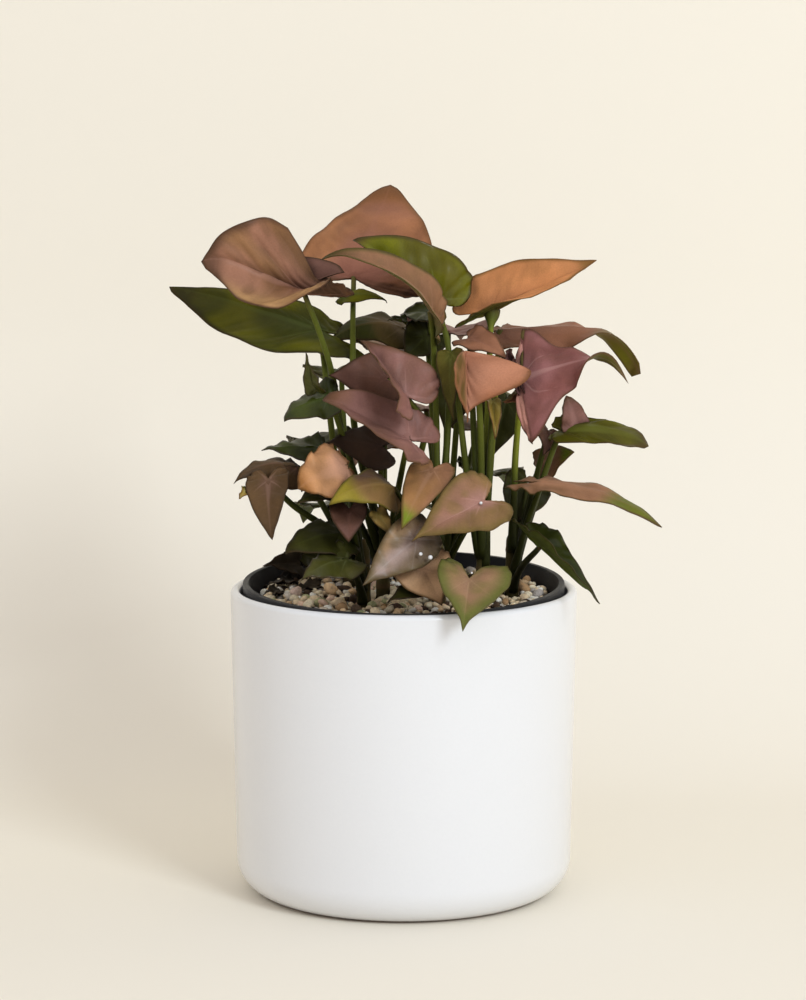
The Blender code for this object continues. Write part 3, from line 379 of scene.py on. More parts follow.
PALETTES = {
    "bronze_pink": Palette((158, 112, 88), (136, 98, 66), (122, 80, 62), (92, 64, 46), (112, 78, 60),
                           (84, 58, 42), (184, 136, 118), tip_from=0.86, left=(176, 136, 90),
                           lobes=(92, 62, 44), veins=0.4, gloss=0.4, crinkle=0.8, mottle=0.5),
    "brown": Palette((84, 62, 38), (96, 72, 46), (106, 78, 62), (58, 44, 26), (80, 60, 38),
                     (74, 66, 34), (140, 108, 92), veins=0.4, crinkle=0.5),
    "crinkled_orange": Palette((204, 146, 96), (200, 148, 104), (222, 168, 142), (140, 96, 52),
                               (160, 108, 58), (112, 98, 52), (212, 160, 128), gloss=0.4, crinkle=2.0),
    "dark_green": Palette((50, 56, 10), (66, 74, 14), (56, 66, 18), (36, 38, 10), (44, 48, 12),
                          (74, 82, 30), (84, 98, 46), gloss=0.75, crinkle=0.8),
    "deep_green": Palette((44, 44, 10), (60, 60, 14), (52, 54, 16), (32, 30, 10), (46, 42, 12),
                          (62, 64, 22), (76, 82, 36), gloss=0.3, crinkle=0.7),
    "maroon": Palette((82, 54, 42), (96, 64, 50), (90, 58, 46), (60, 42, 28), (112, 78, 66),
                      (72, 48, 36), (114, 78, 66), tip_from=0.5),
    "terracotta": Palette((156, 104, 70), (146, 98, 76), (150, 98, 82), (122, 82, 52), (134, 88, 54),
                          (96, 66, 46), (166, 112, 92), left=(164, 112, 74), lobes=(96, 64, 46),
                          veins=0.3, crinkle=0.8),
    "dusty_pink": Palette((140, 98, 88), (128, 90, 76), (156, 112, 102), (112, 78, 58), (112, 78, 56),
                          (100, 76, 56), (176, 132, 122), veins=0.4, crinkle=0.8, gloss=0.4),
    "glossy_green": Palette((92, 86, 4), (116, 116, 8), (116, 116, 20), (66, 56, 8), (94, 64, 28),
                            (100, 104, 40), (156, 164, 90), tip_from=0.9, veins=0.35, ribs=0.1,
                            gloss=0.7, crinkle=0.9),
    "tan_pink": Palette((144, 104, 74), (138, 100, 74), (132, 96, 66), (82, 76, 32), (88, 70, 34),
                        (96, 94, 46), (168, 126, 100), tip_from=0.8, edge_from=0.84, veins=0.3),
    "leaf_green": Palette((64, 64, 8), (92, 90, 6), (60, 68, 18), (46, 44, 10), (56, 52, 10),
                          (82, 86, 30), (94, 106, 50), veins=0.3, gloss=0.35),
    "orange": Palette((200, 134, 84), (198, 134, 86), (180, 120, 80), (138, 96, 50), (128, 96, 48),
                      (96, 98, 40), (164, 106, 68), tip_from=0.88, veins=0.25),
    "salmon": Palette((170, 110, 78), (190, 134, 106), (156, 96, 70), (146, 94, 62), (208, 152, 122),
                      (104, 92, 42), (190, 136, 108), right=(84, 72, 28), veins=0.3),
    "olive": Palette((96, 88, 32), (112, 96, 44), (78, 80, 26), (62, 54, 20), (92, 80, 32),
                     (88, 94, 42), (124, 124, 60)),
    "pink_brown": Palette((158, 108, 80), (148, 100, 74), (138, 94, 74), (108, 74, 50), (152, 104, 76),
                          (84, 76, 36), (164, 116, 94)),
    "pink_green_tip": Palette((152, 102, 76), (142, 94, 68), (152, 104, 84), (104, 72, 44), (88, 84, 18),
                              (128, 124, 36), (158, 114, 94), tip_from=0.72, gloss=0.4),
    # mauve: its lobes are painted paler than the blade, as painted light that makes up for their shade
    "mauve": Palette((150, 98, 94), (132, 82, 76), (160, 108, 106), (104, 68, 54), (90, 84, 26),
                     (92, 88, 36), (206, 160, 152), tip_from=0.84, lobes=(226, 164, 148), veins=0.4,
                     ribs=0.04, gloss=0.4, crinkle=0.5, mottle=0.4),
    "yellow_green": Palette((76, 72, 10), (102, 100, 12), (72, 74, 16), (74, 60, 16), (72, 66, 14),
                            (100, 86, 34), (136, 144, 60), gloss=0.55),
    "bronze_green_tip": Palette((150, 108, 78), (140, 100, 74), (188, 136, 102), (92, 72, 38),
                                (100, 104, 30), (90, 88, 38), (160, 118, 92), tip_from=0.55),
    "bronze": Palette((152, 110, 68), (142, 100, 72), (138, 98, 74), (108, 84, 42), (112, 130, 30),
                      (112, 92, 48), (178, 136, 104), tip_from=0.74, veins=0.4, gloss=0.4,
                      mottle=0.5),
    "rose": Palette((148, 107, 88), (134, 100, 68), (168, 124, 112), (112, 92, 48), (134, 104, 64),
                    (108, 90, 50), (184, 140, 126), edge_from=0.72, left=(130, 101, 64), veins=0.4,
                    crinkle=0.9, mottle=0.7),
    "silver": Palette((158, 136, 126), (128, 108, 86), (142, 120, 110), (88, 74, 46), (128, 116, 88),
                      (94, 92, 64), (178, 164, 156), right=(150, 120, 84), left=(108, 90, 70),
                      edge_from=0.75, veins=0.35, gloss=0.5, crinkle=1.2, mottle=0.8),
    # painted light: far paler than the leaf's own brown, against the shade of the silvery leaf above it
    "painted_light_brown": Palette((226, 180, 136), (204, 156, 114), (208, 160, 124), (144, 110, 72), (180, 138, 98),
                          (92, 84, 46), (176, 138, 110)),
    "rose_green_edge": Palette((156, 120, 90), (146, 118, 78), (164, 126, 100), (94, 98, 42),
                               (110, 110, 56), (102, 108, 48), (176, 142, 108), tip_from=0.74,
                               edge_from=0.45, veins=0.35, gloss=0.4, mottle=0.7),
    "olive_hood": Palette((138, 106, 62), (122, 92, 60), (126, 98, 46), (112, 104, 26), (140, 124, 40),
                          (94, 84, 36), (164, 132, 88), tip_from=0.6, right=(96, 70, 56)),
    "straw_olive": Palette((156, 128, 64), (148, 118, 60), (140, 118, 54), (104, 84, 40), (140, 114, 52),
                           (116, 102, 46), (174, 152, 92)),
    "olive_bronze": Palette((96, 78, 38), (70, 70, 22), (112, 86, 48), (60, 50, 18), (62, 64, 18),
                            (84, 80, 36), (140, 116, 76), tip_from=0.45, veins=0.45),
    "bud_pink": Palette((128, 86, 82), (100, 64, 62), (138, 94, 90), (74, 46, 44), (106, 70, 66),
                        (82, 54, 50), (168, 124, 118), crinkle=1.0),
    "young_yellow": Palette((140, 114, 42), (184, 160, 76), (122, 112, 40), (128, 86, 42), (110, 100, 32),
                            (112, 108, 38), (210, 196, 116), gloss=0.6),
    "dusky_green": Palette((64, 64, 20), (92, 88, 44), (60, 62, 22), (40, 40, 12), (72, 70, 28),
                           (66, 68, 26), (110, 112, 70), gloss=0.55, crinkle=1.0),
    # painted shade: a dim brown for a leaf deep in the shade
    "painted_shade_brown": Palette((54, 38, 28), (64, 46, 34), (60, 42, 34), (38, 28, 18), (50, 36, 26),
                         (48, 38, 24), (76, 56, 44), crinkle=0.6),
    "withered": Palette((50, 42, 30), (74, 64, 50), (62, 52, 40), (34, 28, 22), (46, 38, 30),
                        (52, 46, 38), (96, 86, 70), crinkle=1.5),
}
PETIOLE_GREEN = (92, 98, 32)
PETIOLE_PAINTED_SHADE = (46, 50, 16)
PETIOLE_LIME = (158, 166, 58)
PETIOLE_BLUSH = (102, 76, 48)
STEM_GREEN = (76, 78, 36)
STEM_HUSK = (116, 92, 60)

FINISHES = {
    "leafy_stem_left": ("bronze_pink", "brown", "brown", "crinkled_orange", "deep_green", "deep_green",
                        "dusky_green", "maroon"),
    "leafy_stem_middle_left": ("terracotta", "dusty_pink", "maroon", "dusty_pink", "dark_green",
                               "dark_green", "painted_shade_brown"),
    "leafy_stem_middle": ("tan_pink", "glossy_green", "bronze", "rose", "silver", "painted_light_brown",
                          "deep_green", "rose_green_edge", "olive_hood", "straw_olive"),
    "leafy_stem_right": ("orange", "salmon", "olive", "pink_brown", "pink_green_tip", "young_yellow"),
    "leafy_stem_far_right": ("mauve", "yellow_green", "maroon", "bronze", "bronze_green_tip",
                             "dark_green", "deep_green"),
    "leafy_stem_back_left": ("leaf_green", "olive_bronze", "leaf_green", "terracotta", "dark_green",
                             "bronze_pink", "deep_green", "olive"),
    "leafy_stem_back_right": ("dark_green", "dusty_pink", "leaf_green", "bronze_pink", "dark_green",
                              "olive", "rose", "deep_green", "deep_green", "deep_green"),
}
FLARES = {"leafy_stem_right": {0: 2.6, 4: 0.8}, "leafy_stem_middle": {1: 0.8, 0: 0.6}}
LIME_PETIOLES = {"leafy_stem_right": (0, 4), "leafy_stem_far_right": (0,)}
# Drops of water on the blades: place and radius in millimetres; their pale grey tint is a painted glint
DROP_RINGS = 7
DROP_FACING = (0.0, -0.6, 0.8)
DROP_GLINT = 0.78
DROPS = {
    "leafy_stem_middle": ((7, -62.6, 157, 0.8), (11, -62.6, 155.6, 1.0), (32, -56.6, 177.4, 0.7),
                          (28, -68.6, 150, 0.5)),
}
YOUNG_GROWTH = {
    "leafy_stem_left": (
        # pale tip of an old leaf at the far left
        (Leaf((-66, -37, 181), (-69, -41, 177), (0.2, -0.9, 0.3), 3.5, 1), "young_yellow"),
        # raised dark lobe of the folded bronze leaf
        (Leaf((-48, -10, 264), (-25, -8, 270), (-0.1, -0.8, 0.6), 24, 1, (10, -10),
              halves=(1.0, 0.2), full=(0.5, 0.8), arch=10), "maroon"),
        # withered leaves on the grains at the left
        (Leaf((-50, 22, 132), (-62, 16, 130), (0.1, -0.3, 0.95), 9, 3, (25, -10), arch=30, wave=1.2),
         "withered"),
        (Leaf((-44, 34, 132), (-57, 33, 131), (0.0, -0.5, 0.85), 10, 3, (-20, 30), arch=40, wave=1.4),
         "withered"),
        (Leaf((-38, 14, 131), (-50, 8, 129), (0.0, -0.4, 0.9), 9, 3, (30, 10), arch=35, wave=1.2),
         "withered"),
        (Leaf((-54, 4, 131), (-61, -8, 128), (0.1, -0.3, 0.95), 8, 3, (20, 20), arch=20, wave=1.0),
         "withered"),
        (Leaf((-46, 32, 138), (-62, 20, 139), (0.3, -0.8, 0.5), 15, 4, (15, 25), arch=30, wave=1.6),
         "withered"),
        (Leaf((-38, 40, 139), (-53, 35, 143), (0.2, -0.8, 0.5), 16, 4, (20, 15), arch=30, wave=1.5),
         "dusky_green"),
    ),
    "leafy_stem_right": (
        # crinkled purple bud between the lobes of the mauve leaf
        (Leaf((48, -17, 227), (45, -14, 238), (-0.4, -0.9, 0.2), 11, 2, (72, 72), (70, 70), full=(0.5, 0.5),
              wave=1.2, waves=3), "bud_pink"),
        (Leaf((50, -19, 221), (46, -17, 230), (-0.5, -0.85, 0.2), 9, 2, (78, 70), (70, 70), full=(0.5, 0.5),
              wave=1.2, waves=3), "bud_pink"),
        # rolled leaf below the orange one
        (Leaf((48, -12, 219), (42, -14, 215), (0.2, -0.9, -0.4), 8, 1, (70, 70), (60, 60), full=(0.6, 0.6)),
         "salmon"),
    ),
    "leafy_stem_middle_left": (
        # raised lobe tip of the dark glossy leaf
        (Leaf((-37, -21, 221), (-41.5, -22, 237), (-0.5, -0.8, 0.3), 10, 2, (20, 20), full=(1.5, 1.5)),
         "dusky_green"),
    ),
    "leafy_stem_far_right": (
        # pink far half of the long green leaf
        (Leaf((74, -2, 202), (70, -3, 217), (0.3, -0.9, 0.3), 13, 2, (10, 10), full=(0.6, 0.6)),
         "dusty_pink"),
    ),
    "leafy_stem_back_left": (
        # hooked lobe of the large green leaf
        (Leaf((-27, 24, 257), (-6.5, 23, 254.5), (0.05, -0.7, 0.7), 8, 3, (-15, -15), arch=50, curl=60),
         "leaf_green"),
    ),
    "leafy_stem_back_right": (
        # curled young leaf in the gap
        (Leaf((1, 21, 247), (-7, 18, 247), (0.1, -0.6, 0.8), 4, 1, (40, 40), arch=60), "dark_green"),
    ),
}


# Helpers that several pieces share


def linear(colour):
    """Display colour from 0 to 255 as linear light."""
    share = np.asarray(colour, float) / 255
    return np.where(share <= 0.04045, share / 12.92, ((share + 0.055) / 1.055) ** 2.4)


def toward(start, end, share):
    """A value or colour part of the way from start to end."""
    return start * (1 - share) + end * share


def column(values):
    """A row of numbers as one column."""
    return np.asarray(values)[:, None]


def smooth_step(low, high, value):
    """0 at low and 1 at high, with a soft ramp between them."""
    share = np.clip((value - low) / (high - low), 0, 1)
    return share * share * (3 - 2 * share)


def unit(vector):
    """The vector at length one."""
    vector = np.asarray(vector, float)
    return vector / np.linalg.norm(vector)


def noise_at(points, scale, seed):
    """Smooth noise from about -1 to 1 at points in millimetres, for features of a given size."""
    return np.array([noise.noise(Vector((p[0] / scale + seed, p[1] / scale, p[2] / scale + 3.1 * seed)))
                     for p in points])


# Meshes, in metres


def linked(name, data):
    """A new object in the scene that shows a mesh, a camera or a lamp."""
    piece = bpy.data.objects.new(name, data)
    bpy.context.scene.collection.objects.link(piece)
    return piece


def mesh_piece(name, points, faces, material, attributes=None):
    """A named object from points in metres, with its point attributes and one material."""
    mesh = bpy.data.meshes.new(name)
    mesh.from_pydata(np.asarray(points).tolist(), [], faces)
    for key, values in (attributes or {}).items():
        values = np.asarray(values, np.float32)
        if values.ndim == 2:
            layer = mesh.attributes.new(key, "FLOAT_COLOR", "POINT")
            layer.data.foreach_set("color", np.column_stack([values, np.ones(len(values))]).ravel())
        else:
            mesh.attributes.new(key, "FLOAT", "POINT").data.foreach_set("value", values)
    mesh.materials.append(material)
    mesh.validate()
    mesh.shade_smooth()
    return linked(name, mesh)


def stand_for(piece, node):
    """Let a piece ride on the frame and stand for its node, whose own piece it hides."""
    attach(piece, "root")
    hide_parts(node)


def turned(rows, sides):
    """Points and faces of a turned form: rows of (radius, height) from the axis and back to it."""
    turns = 2 * math.pi * np.arange(sides) / sides
    circle = np.column_stack([np.cos(turns), np.sin(turns)])
    rings = [np.column_stack([circle * radius, np.full(sides, height)]) for radius, height in rows[1:-1]]
    points = np.vstack([[(0, 0, rows[0][1])]] + rings + [[(0, 0, rows[-1][1])]])
    i = np.arange(sides)
    j = (i + 1) % sides
    faces = list(zip(np.zeros(sides, int), 1 + i, 1 + j))
    last = 1 + (len(rings) - 1) * sides
    for ring in range(1, last, sides):
        faces += list(zip(ring + i, ring + i + sides, ring + j + sides, ring + j))
    faces += list(zip(last + j, last + i, np.full(sides, len(points) - 1)))
    return points, [tuple(int(corner) for corner in face) for face in faces]


def turned_piece(name, rows, sides, material):
    """A pot from its inner middle over the lip to the middle of its foot."""
    piece = mesh_piece(name, *turned(rows, sides), material)
    piece.data.set_sharp_from_angle(angle=SHARP_FROM)
    return piece


def arc(centre, radius, start, end, steps):
    """Points on an arc of the profile plane, in degrees from +X."""
    angles = np.radians(np.linspace(start, end, steps + 1))
    return [(centre[0] + radius * math.cos(a), centre[1] + radius * math.sin(a)) for a in angles]


def liner_frame():
    """Where the nursery pot's own upright frame lies in the cachepot."""
    lean = Matrix.Rotation(LINER_TILT, 4, "X")
    return Matrix.Translation(LINER_RIM_CENTRE) @ lean @ Matrix.Translation((0, 0, -LINER_HEIGHT))


def in_liner(points):
    """Points of the nursery pot's own frame, where they lie in the cachepot."""
    lean = np.array(liner_frame())
    return points @ lean[:3, :3].T + lean[:3, 3]


def liner_inner_radius(height):
    """Inside radius of the nursery pot at a height above its foot."""
    share = (height - LINER_WALL) / (LINER_HEIGHT - LINER_WALL * 2)
    top = LINER_TOP_RADIUS - LINER_LIP_INSET
    foot = LINER_FOOT_RADIUS - LINER_WALL
    return foot + (top - foot) * share


def soil_level(y):
    """Height of the potting mix at a distance from the middle, on its leaning surface."""
    centre = liner_frame() @ Vector((0, 0, SOIL_LEVEL))
    return centre.z + (y - centre.y) * math.tan(LINER_TILT)


# Leaves and stems, in millimetres


def midrib(leaf, along, length):
    """Places and headings on the midrib, in the plane of the chord and the upper face."""
    steps = MIDRIB_STEPS
    share = (np.arange(steps) + 0.5) / steps
    curled = np.clip((share - CURL_START) / (1 - CURL_START), 0, 1) ** 2
    bend = -np.radians(leaf.arch) * share - np.radians(leaf.curl) * curled
    run = np.concatenate([[0], np.cumsum(np.cos(bend))]) / steps
    rise = np.concatenate([[0], np.cumsum(np.sin(bend))]) / steps
    chord = math.hypot(run[-1], rise[-1])
    tilt = -math.atan2(rise[-1], run[-1])
    blade = length / chord
    ahead = np.clip(along, 0, 1) * steps
    whole = np.minimum(ahead.astype(int), steps - 1)
    part = ahead - whole
    x = (run[whole] + part * (run[whole + 1] - run[whole])) * blade
    z = (rise[whole] + part * (rise[whole + 1] - rise[whole])) * blade
    middle = np.concatenate([[0], (bend[1:] + bend[:-1]) / 2, [bend[-1]]])
    heading = (middle[whole] + part * (middle[whole + 1] - middle[whole])) * np.clip(ahead, 0, 1)
    behind = np.clip(-along, 0, None) * leaf.lobe
    sag = np.radians(leaf.droop) * np.clip(-along, 0, None)
    x = x - behind * np.cos(sag / 2)
    z = z - behind * np.sin(sag / 2)
    heading = np.where(along < 0, sag, heading) + tilt
    turned_x = x * math.cos(tilt) - z * math.sin(tilt)
    turned_z = x * math.sin(tilt) + z * math.cos(tilt)
    return turned_x, turned_z, heading


def leaf_axes(leaf):
    """The blade's length and its forward, upper and left directions at the joint."""
    chord = np.array(leaf.tip, float) - np.array(leaf.joint, float)
    length = np.linalg.norm(chord)
    ahead = chord / length
    face = np.array(leaf.face, float)
    up = unit(face - ahead * (face @ ahead))
    return length, ahead, up, np.cross(up, ahead)


def blade_sheet(leaf, along, aside):
    """Points of the blade's middle surface, from its flat outline coordinates."""
    length, ahead, up, left = leaf_axes(leaf)
    half = (aside < 0).astype(int)
    side_share = np.abs(aside)
    front = np.clip(along * FULL_TURN + 0.5, 0, 1)
    aside = np.sign(aside) * side_share ** (1 + (np.array(leaf.full)[half] - 1) * front)
    gate = np.clip(along * SWEEP_TURN + SWEEP_START, 0, 1) if leaf.lobe > NO_LOBE else 1.0
    swept = np.array(leaf.sweep)[half] * side_share * gate
    place = np.where(along < 0, along * leaf.lobe, along * length) + swept
    along = np.where(place < 0, place / leaf.lobe, place / length)
    x, z, heading = midrib(leaf, along, length)
    normal = np.outer(-np.sin(heading), ahead) + np.outer(np.cos(heading), up)
    turn = np.radians(leaf.twist) * np.clip((along - TWIST_START) / (1 - TWIST_START), 0, 1)
    side = np.cos(turn)[:, None] * left + np.sin(turn)[:, None] * normal
    over = np.cos(turn)[:, None] * normal - np.sin(turn)[:, None] * left
    base = np.array(leaf.joint, float) + np.outer(x, ahead) + np.outer(z, up)
    blend = np.clip((along - leaf.turn_at) / FOLD_TURN + 0.5, 0, 1)
    blend = blend * blend * (3 - 2 * blend)
    left_fold = leaf.lobe_fold[0] + (leaf.fold[0] - leaf.lobe_fold[0]) * blend
    right_fold = leaf.lobe_fold[1] + (leaf.fold[1] - leaf.lobe_fold[1]) * blend
    reach = np.abs(aside) * leaf.width / 2 * np.array(leaf.halves)[half]
    narrow = np.clip(along / WAIST_AT, 0, 1)
    reach = reach * (1 - np.array(leaf.waist)[half] * narrow * narrow * (3 - 2 * narrow))
    lift = np.radians(np.where(aside >= 0, left_fold, right_fold))
    ripple = np.sin(2 * math.pi * (leaf.waves * along + RIPPLE_SHIFT * (aside > 0)))
    rise = reach * np.sin(lift) + leaf.wave * ripple * np.abs(aside) ** 2
    out = np.sign(aside) * reach * np.cos(lift)
    sheet = base + side * out[:, None] + over * rise[:, None]
    sheet[:, 2] -= leaf.drip * np.clip((along - DRIP_START) / (1 - DRIP_START), 0, 1) ** 2
    return sheet


def with_ends(points):
    """The points as vectors, with one more point in line beyond each end."""
    points = [np.array(p, float) for p in points]
    return [2 * points[0] - points[1]] + points + [2 * points[-1] - points[-2]]


def between(a, b, c, d, t):
    """A point of the smooth curve between b and c, with a before it and d after it."""
    return 0.5 * (2 * b + (c - a) * t + (2 * a - 5 * b + 4 * c - d) * t ** 2
                  + (3 * b - a - 3 * c + d) * t ** 3)


def smooth_half(length, lobe, width, spacing):
    """The half outline as a smooth line, with even steps of a given size in millimetres."""
    rows = with_ends(HALF_OUTLINE)
    line = [between(*span, t) for span in zip(rows, rows[1:], rows[2:], rows[3:])
            for t in np.linspace(0, 1, 12, endpoint=False)]
    line = np.array(line + [rows[-2]])
    line[:, 1] = np.clip(line[:, 1], 0, None)
    sizes = np.where(line[:, :1] < 0, lobe, length)
    real = np.column_stack([line[:, 0] * sizes[:, 0], line[:, 1] * width / 2])
    travel = np.concatenate([[0], np.cumsum(np.linalg.norm(np.diff(real, axis=0), axis=1))])
    count = max(14, int(travel[-1] / spacing))
    even = np.linspace(0, travel[-1], count + 1)
    return np.column_stack([np.interp(even, travel, line[:, 0]), np.interp(even, travel, line[:, 1])])


def blade_grid(half, rings):
    """Flat coordinates, ring shares and triangles of a fan of rings round the leaf joint."""
    edge = np.vstack([half, half[-2:0:-1] * (1, -1)])
    count = len(edge)
    shares = (np.arange(1, rings + 1) / rings) ** RING_EASE
    along = np.concatenate([[0.0]] + [edge[:, 0] * s for s in shares])
    aside = np.concatenate([[0.0]] + [edge[:, 1] * s for s in shares])
    ring = np.concatenate([[0.0]] + [np.full(count, s) for s in shares])
    i = np.arange(count)
    j = (i + 1) % count
    faces = [np.column_stack([np.zeros(count, int), 1 + i, 1 + j])]
    first = i < count // 2
    for inner in range(1, 1 + (rings - 1) * count, count):
        outer = inner + count
        a, b, c, d = inner + i, outer + i, outer + j, inner + j
        faces.append(np.column_stack([a, b, np.where(first, c, d)]))
        faces.append(np.column_stack([np.where(first, a, b), c, d]))
    return along, aside, ring, np.vstack(faces), count


def point_normals(points, faces):
    """Unit normals at the points of a sheet."""
    area = np.cross(points[faces[:, 1]] - points[faces[:, 0]], points[faces[:, 2]] - points[faces[:, 0]])
    normals = np.zeros_like(points)
    for corner in range(3):
        np.add.at(normals, faces[:, corner], area)
    return normals / np.maximum(np.linalg.norm(normals, axis=1), 1e-9)[:, None]


def blade_colours(palette, along, aside, ring, flat, seed):
    """Colour of each point of the upper face, and of the underside."""
    edge, second = linear(palette.edge), linear(palette.second)
    patch = column(smooth_step(-0.25, 0.45, noise_at(flat, 17, seed)))
    upper = toward(linear(palette.main), second, patch)
    for half, colour in ((aside > 0, palette.left), (aside < 0, palette.right)):
        if colour:
            share = column(half * smooth_step(0.05, 0.5, np.abs(aside)) * 0.9)
            upper = toward(upper, linear(colour), share)
    if palette.lobes:
        upper = toward(upper, linear(palette.lobes), column(0.9 * smooth_step(0.1, -0.25, along)))
    blotch = column(palette.mottle * smooth_step(0.0, 0.45, noise_at(flat, 6.5, seed + 7)))
    upper = toward(upper, edge * 0.6 + second * 0.5, blotch)
    wobble = noise_at(flat, 9, seed + 5) * 0.08
    near = column(0.75 * (1 - smooth_step(0.05, 0.55, ring + wobble)))
    upper = toward(upper, linear(palette.base), near)
    far = column(smooth_step(palette.tip_from - 0.12, palette.tip_from + 0.1, along + wobble))
    upper = toward(upper, linear(palette.tip), far)
    rim = column(smooth_step(palette.edge_from, 1.0, ring + wobble * 0.5))
    under = toward(linear(palette.under), second, 0.35 * patch)
    return toward(upper, edge, rim), toward(under, edge, 0.6 * rim)


def vein_lines(leaf, half, along, flat):
    """Distances in millimetres to the midrib and to the lobe veins, and a count of side veins."""
    x, y = flat[:, 0], np.abs(flat[:, 1])
    sizes = np.column_stack([half[:, 0] * leaf.lobe, half[:, 1] * leaf.width / 2])
    end = sizes[np.argmin(np.linalg.norm(half - BASAL_VEIN, axis=1))]
    reach = np.linalg.norm(end)
    axis = end / reach
    forward = x * axis[0] + y * axis[1]
    to_midrib = np.where(x > 0, y, NO_VEIN)
    to_basal = np.where(forward > 0, np.abs(y * axis[0] - x * axis[1]), NO_VEIN)
    bend = y - x * LATERAL_LEAN + LATERAL_CURVE * x * x
    to_lateral = np.where(x > 0, np.abs(bend) * 0.7, NO_VEIN)
    slim = np.where(to_midrib < to_basal, 1.05 - np.clip(along, 0, 1), 1.1 - np.clip(forward / reach, 0, 1))
    slim = np.where(to_lateral < np.minimum(to_midrib, to_basal), 0.6 - np.clip(along, 0, 0.5), slim)
    count = (x - VEIN_LEAN * y - VEIN_CURVE * y * y) / VEIN_SPACING
    nearest = np.minimum(np.minimum(to_midrib, to_basal), to_lateral)
    return nearest, np.clip(slim, 0.12, 1), count


def leaf_parts(leaf, palette, seed):
    """Points, triangles and attributes of one blade, with its two faces and its ribs."""
    length, _, _, _ = leaf_axes(leaf)
    half = smooth_half(length, leaf.lobe, leaf.width, BLADE_STEP)
    rings = int(np.clip(max(length, leaf.width / 2) / RING_STEP, 7, 26))
    along, aside, ring, faces, count = blade_grid(half, rings)
    flat = np.column_stack([np.where(along < 0, along * leaf.lobe, along * length),
                            aside * leaf.width / 2, np.zeros(len(along))])
    sheet = blade_sheet(leaf, along, aside)
    normals = point_normals(sheet, faces)
    vein, slim, side_vein = vein_lines(leaf, half, along, flat)
    still = smooth_step(0.04, 0.3, ring)
    pillow = np.cos(2 * math.pi * (side_vein + 0.25 * noise_at(flat, 11, seed + 4)))
    pillow = pillow * smooth_step(0.5, 3.0, np.abs(flat[:, 1])) * (1 - smooth_step(0.85, 1.0, ring) * 0.6)
    swell = palette.crinkle * noise_at(flat, 7.5, seed + 2) * SWELL_DEPTH
    swell = swell + noise_at(flat, 15, seed + 9) * SWELL_DEPTH
    frill = palette.crinkle * 0.5 * np.sin(along * 23 + seed) * ring ** 6
    groove = -GROOVE_DEPTH * np.exp(-(vein / GROOVE_WIDTH) ** 2)
    sheet = sheet + normals * column(swell * still + groove - PILLOW_DEPTH * pillow * still + frill)
    normals = point_normals(sheet, faces)
    thick = HALF_THICKNESS * (1 - RIM_THINNING * smooth_step(0.75, 1.0, ring))
    ridge = RIB_DEPTH * slim * np.exp(-(vein / RIB_WIDTH) ** 2)
    upper_colour, under_colour = blade_colours(palette, along, aside, ring, flat, seed)
    # painted light and shade on the crinkles: swells painted lighter, hollows darker
    painted_fold_light = FOLD_LIGHT_AND_SHADE * (swell - 0.5 * pillow * palette.ribs) * still
    upper_colour = upper_colour * column(1 + painted_fold_light)
    points = np.vstack([sheet + normals * column(thick), sheet - normals * column(thick + ridge)])
    total = len(sheet)
    rim = total - count
    i = np.arange(count)
    j = (i + 1) % count
    strip = np.vstack([np.column_stack([rim + j, rim + i, rim + i + total]),
                       np.column_stack([rim + j, rim + i + total, rim + j + total])])
    triangles = np.vstack([faces, faces[:, ::-1] + total, strip])
    margin = (1 - ring) * max(leaf.width / 2, 6)
    shown = palette.veins * (1 - 0.7 * smooth_step(0.1, 0.85, ring))
    attributes = {
        "tint": np.vstack([upper_colour, under_colour]),
        "vein_tint": np.tile(linear(palette.vein), (2 * total, 1)),
        "main_vein": np.tile(vein / slim, 2), "side_vein": np.tile(side_vein, 2),
        "margin": np.tile(margin, 2),
        "vein_share": np.concatenate([shown, np.full(total, 0.3)]),
        "rib_share": np.full(2 * total, palette.ribs),
        "gloss": np.concatenate([np.full(total, palette.gloss), np.full(total, 0.15)]),
    }
    return points, triangles, attributes


def tube_parts(way, radii, sides, colours, gloss=0.3):
    """Points, triangles and attributes of a closed tube along a line, with a domed end."""
    count = len(way)
    side = unit(np.cross(way[1] - way[0], (0.31, 0.95, 0.05)))
    points = []
    for k, place in enumerate(way):
        ahead = unit(way[min(k + 1, count - 1)] - way[max(k - 1, 0)])
        side = unit(side - ahead * (side @ ahead))
        other = np.cross(ahead, side)
        angles = 2 * math.pi * np.arange(sides) / sides
        points.append(place + radii[k] * (np.outer(np.cos(angles), side) + np.outer(np.sin(angles), other)))
    points = np.vstack(points + [way[:1], way[-1:] + unit(way[-1] - way[-2]) * radii[-1] * 0.6])
    i = np.arange(sides)
    j = (i + 1) % sides
    faces = []
    for k in range(count - 1):
        a, b = k * sides + i, k * sides + j
        faces.append(np.column_stack([a, b, b + sides]))
        faces.append(np.column_stack([a, b + sides, a + sides]))
    last = (count - 1) * sides
    foot, head = count * sides, count * sides + 1
    faces.append(np.column_stack([j, i, np.full(sides, foot)]))
    faces.append(np.column_stack([last + i, last + j, np.full(sides, head)]))
    tint = np.vstack([np.repeat(colours, sides, axis=0), colours[:1], colours[-1:]])
    total = len(points)
    attributes = {
        "tint": tint, "vein_tint": tint * 1.25, "main_vein": np.full(total, NO_VEIN),
        "side_vein": np.full(total, 0.5), "margin": np.full(total, NO_VEIN),
        "vein_share": np.zeros(total), "rib_share": np.zeros(total), "gloss": np.full(total, gloss),
    }
    return points, np.vstack(faces), attributes


def smooth_way(points, spans):
    """A smooth curve through the points, as evenly timed samples."""
    points = with_ends(points)
    runs = len(points) - 3
    way = []
    for k in range(spans + 1):
        place = min(k * runs / spans, runs - 1e-9)
        i = int(place)
        way.append(between(*points[i:i + 4], place - i))
    return np.array(way)


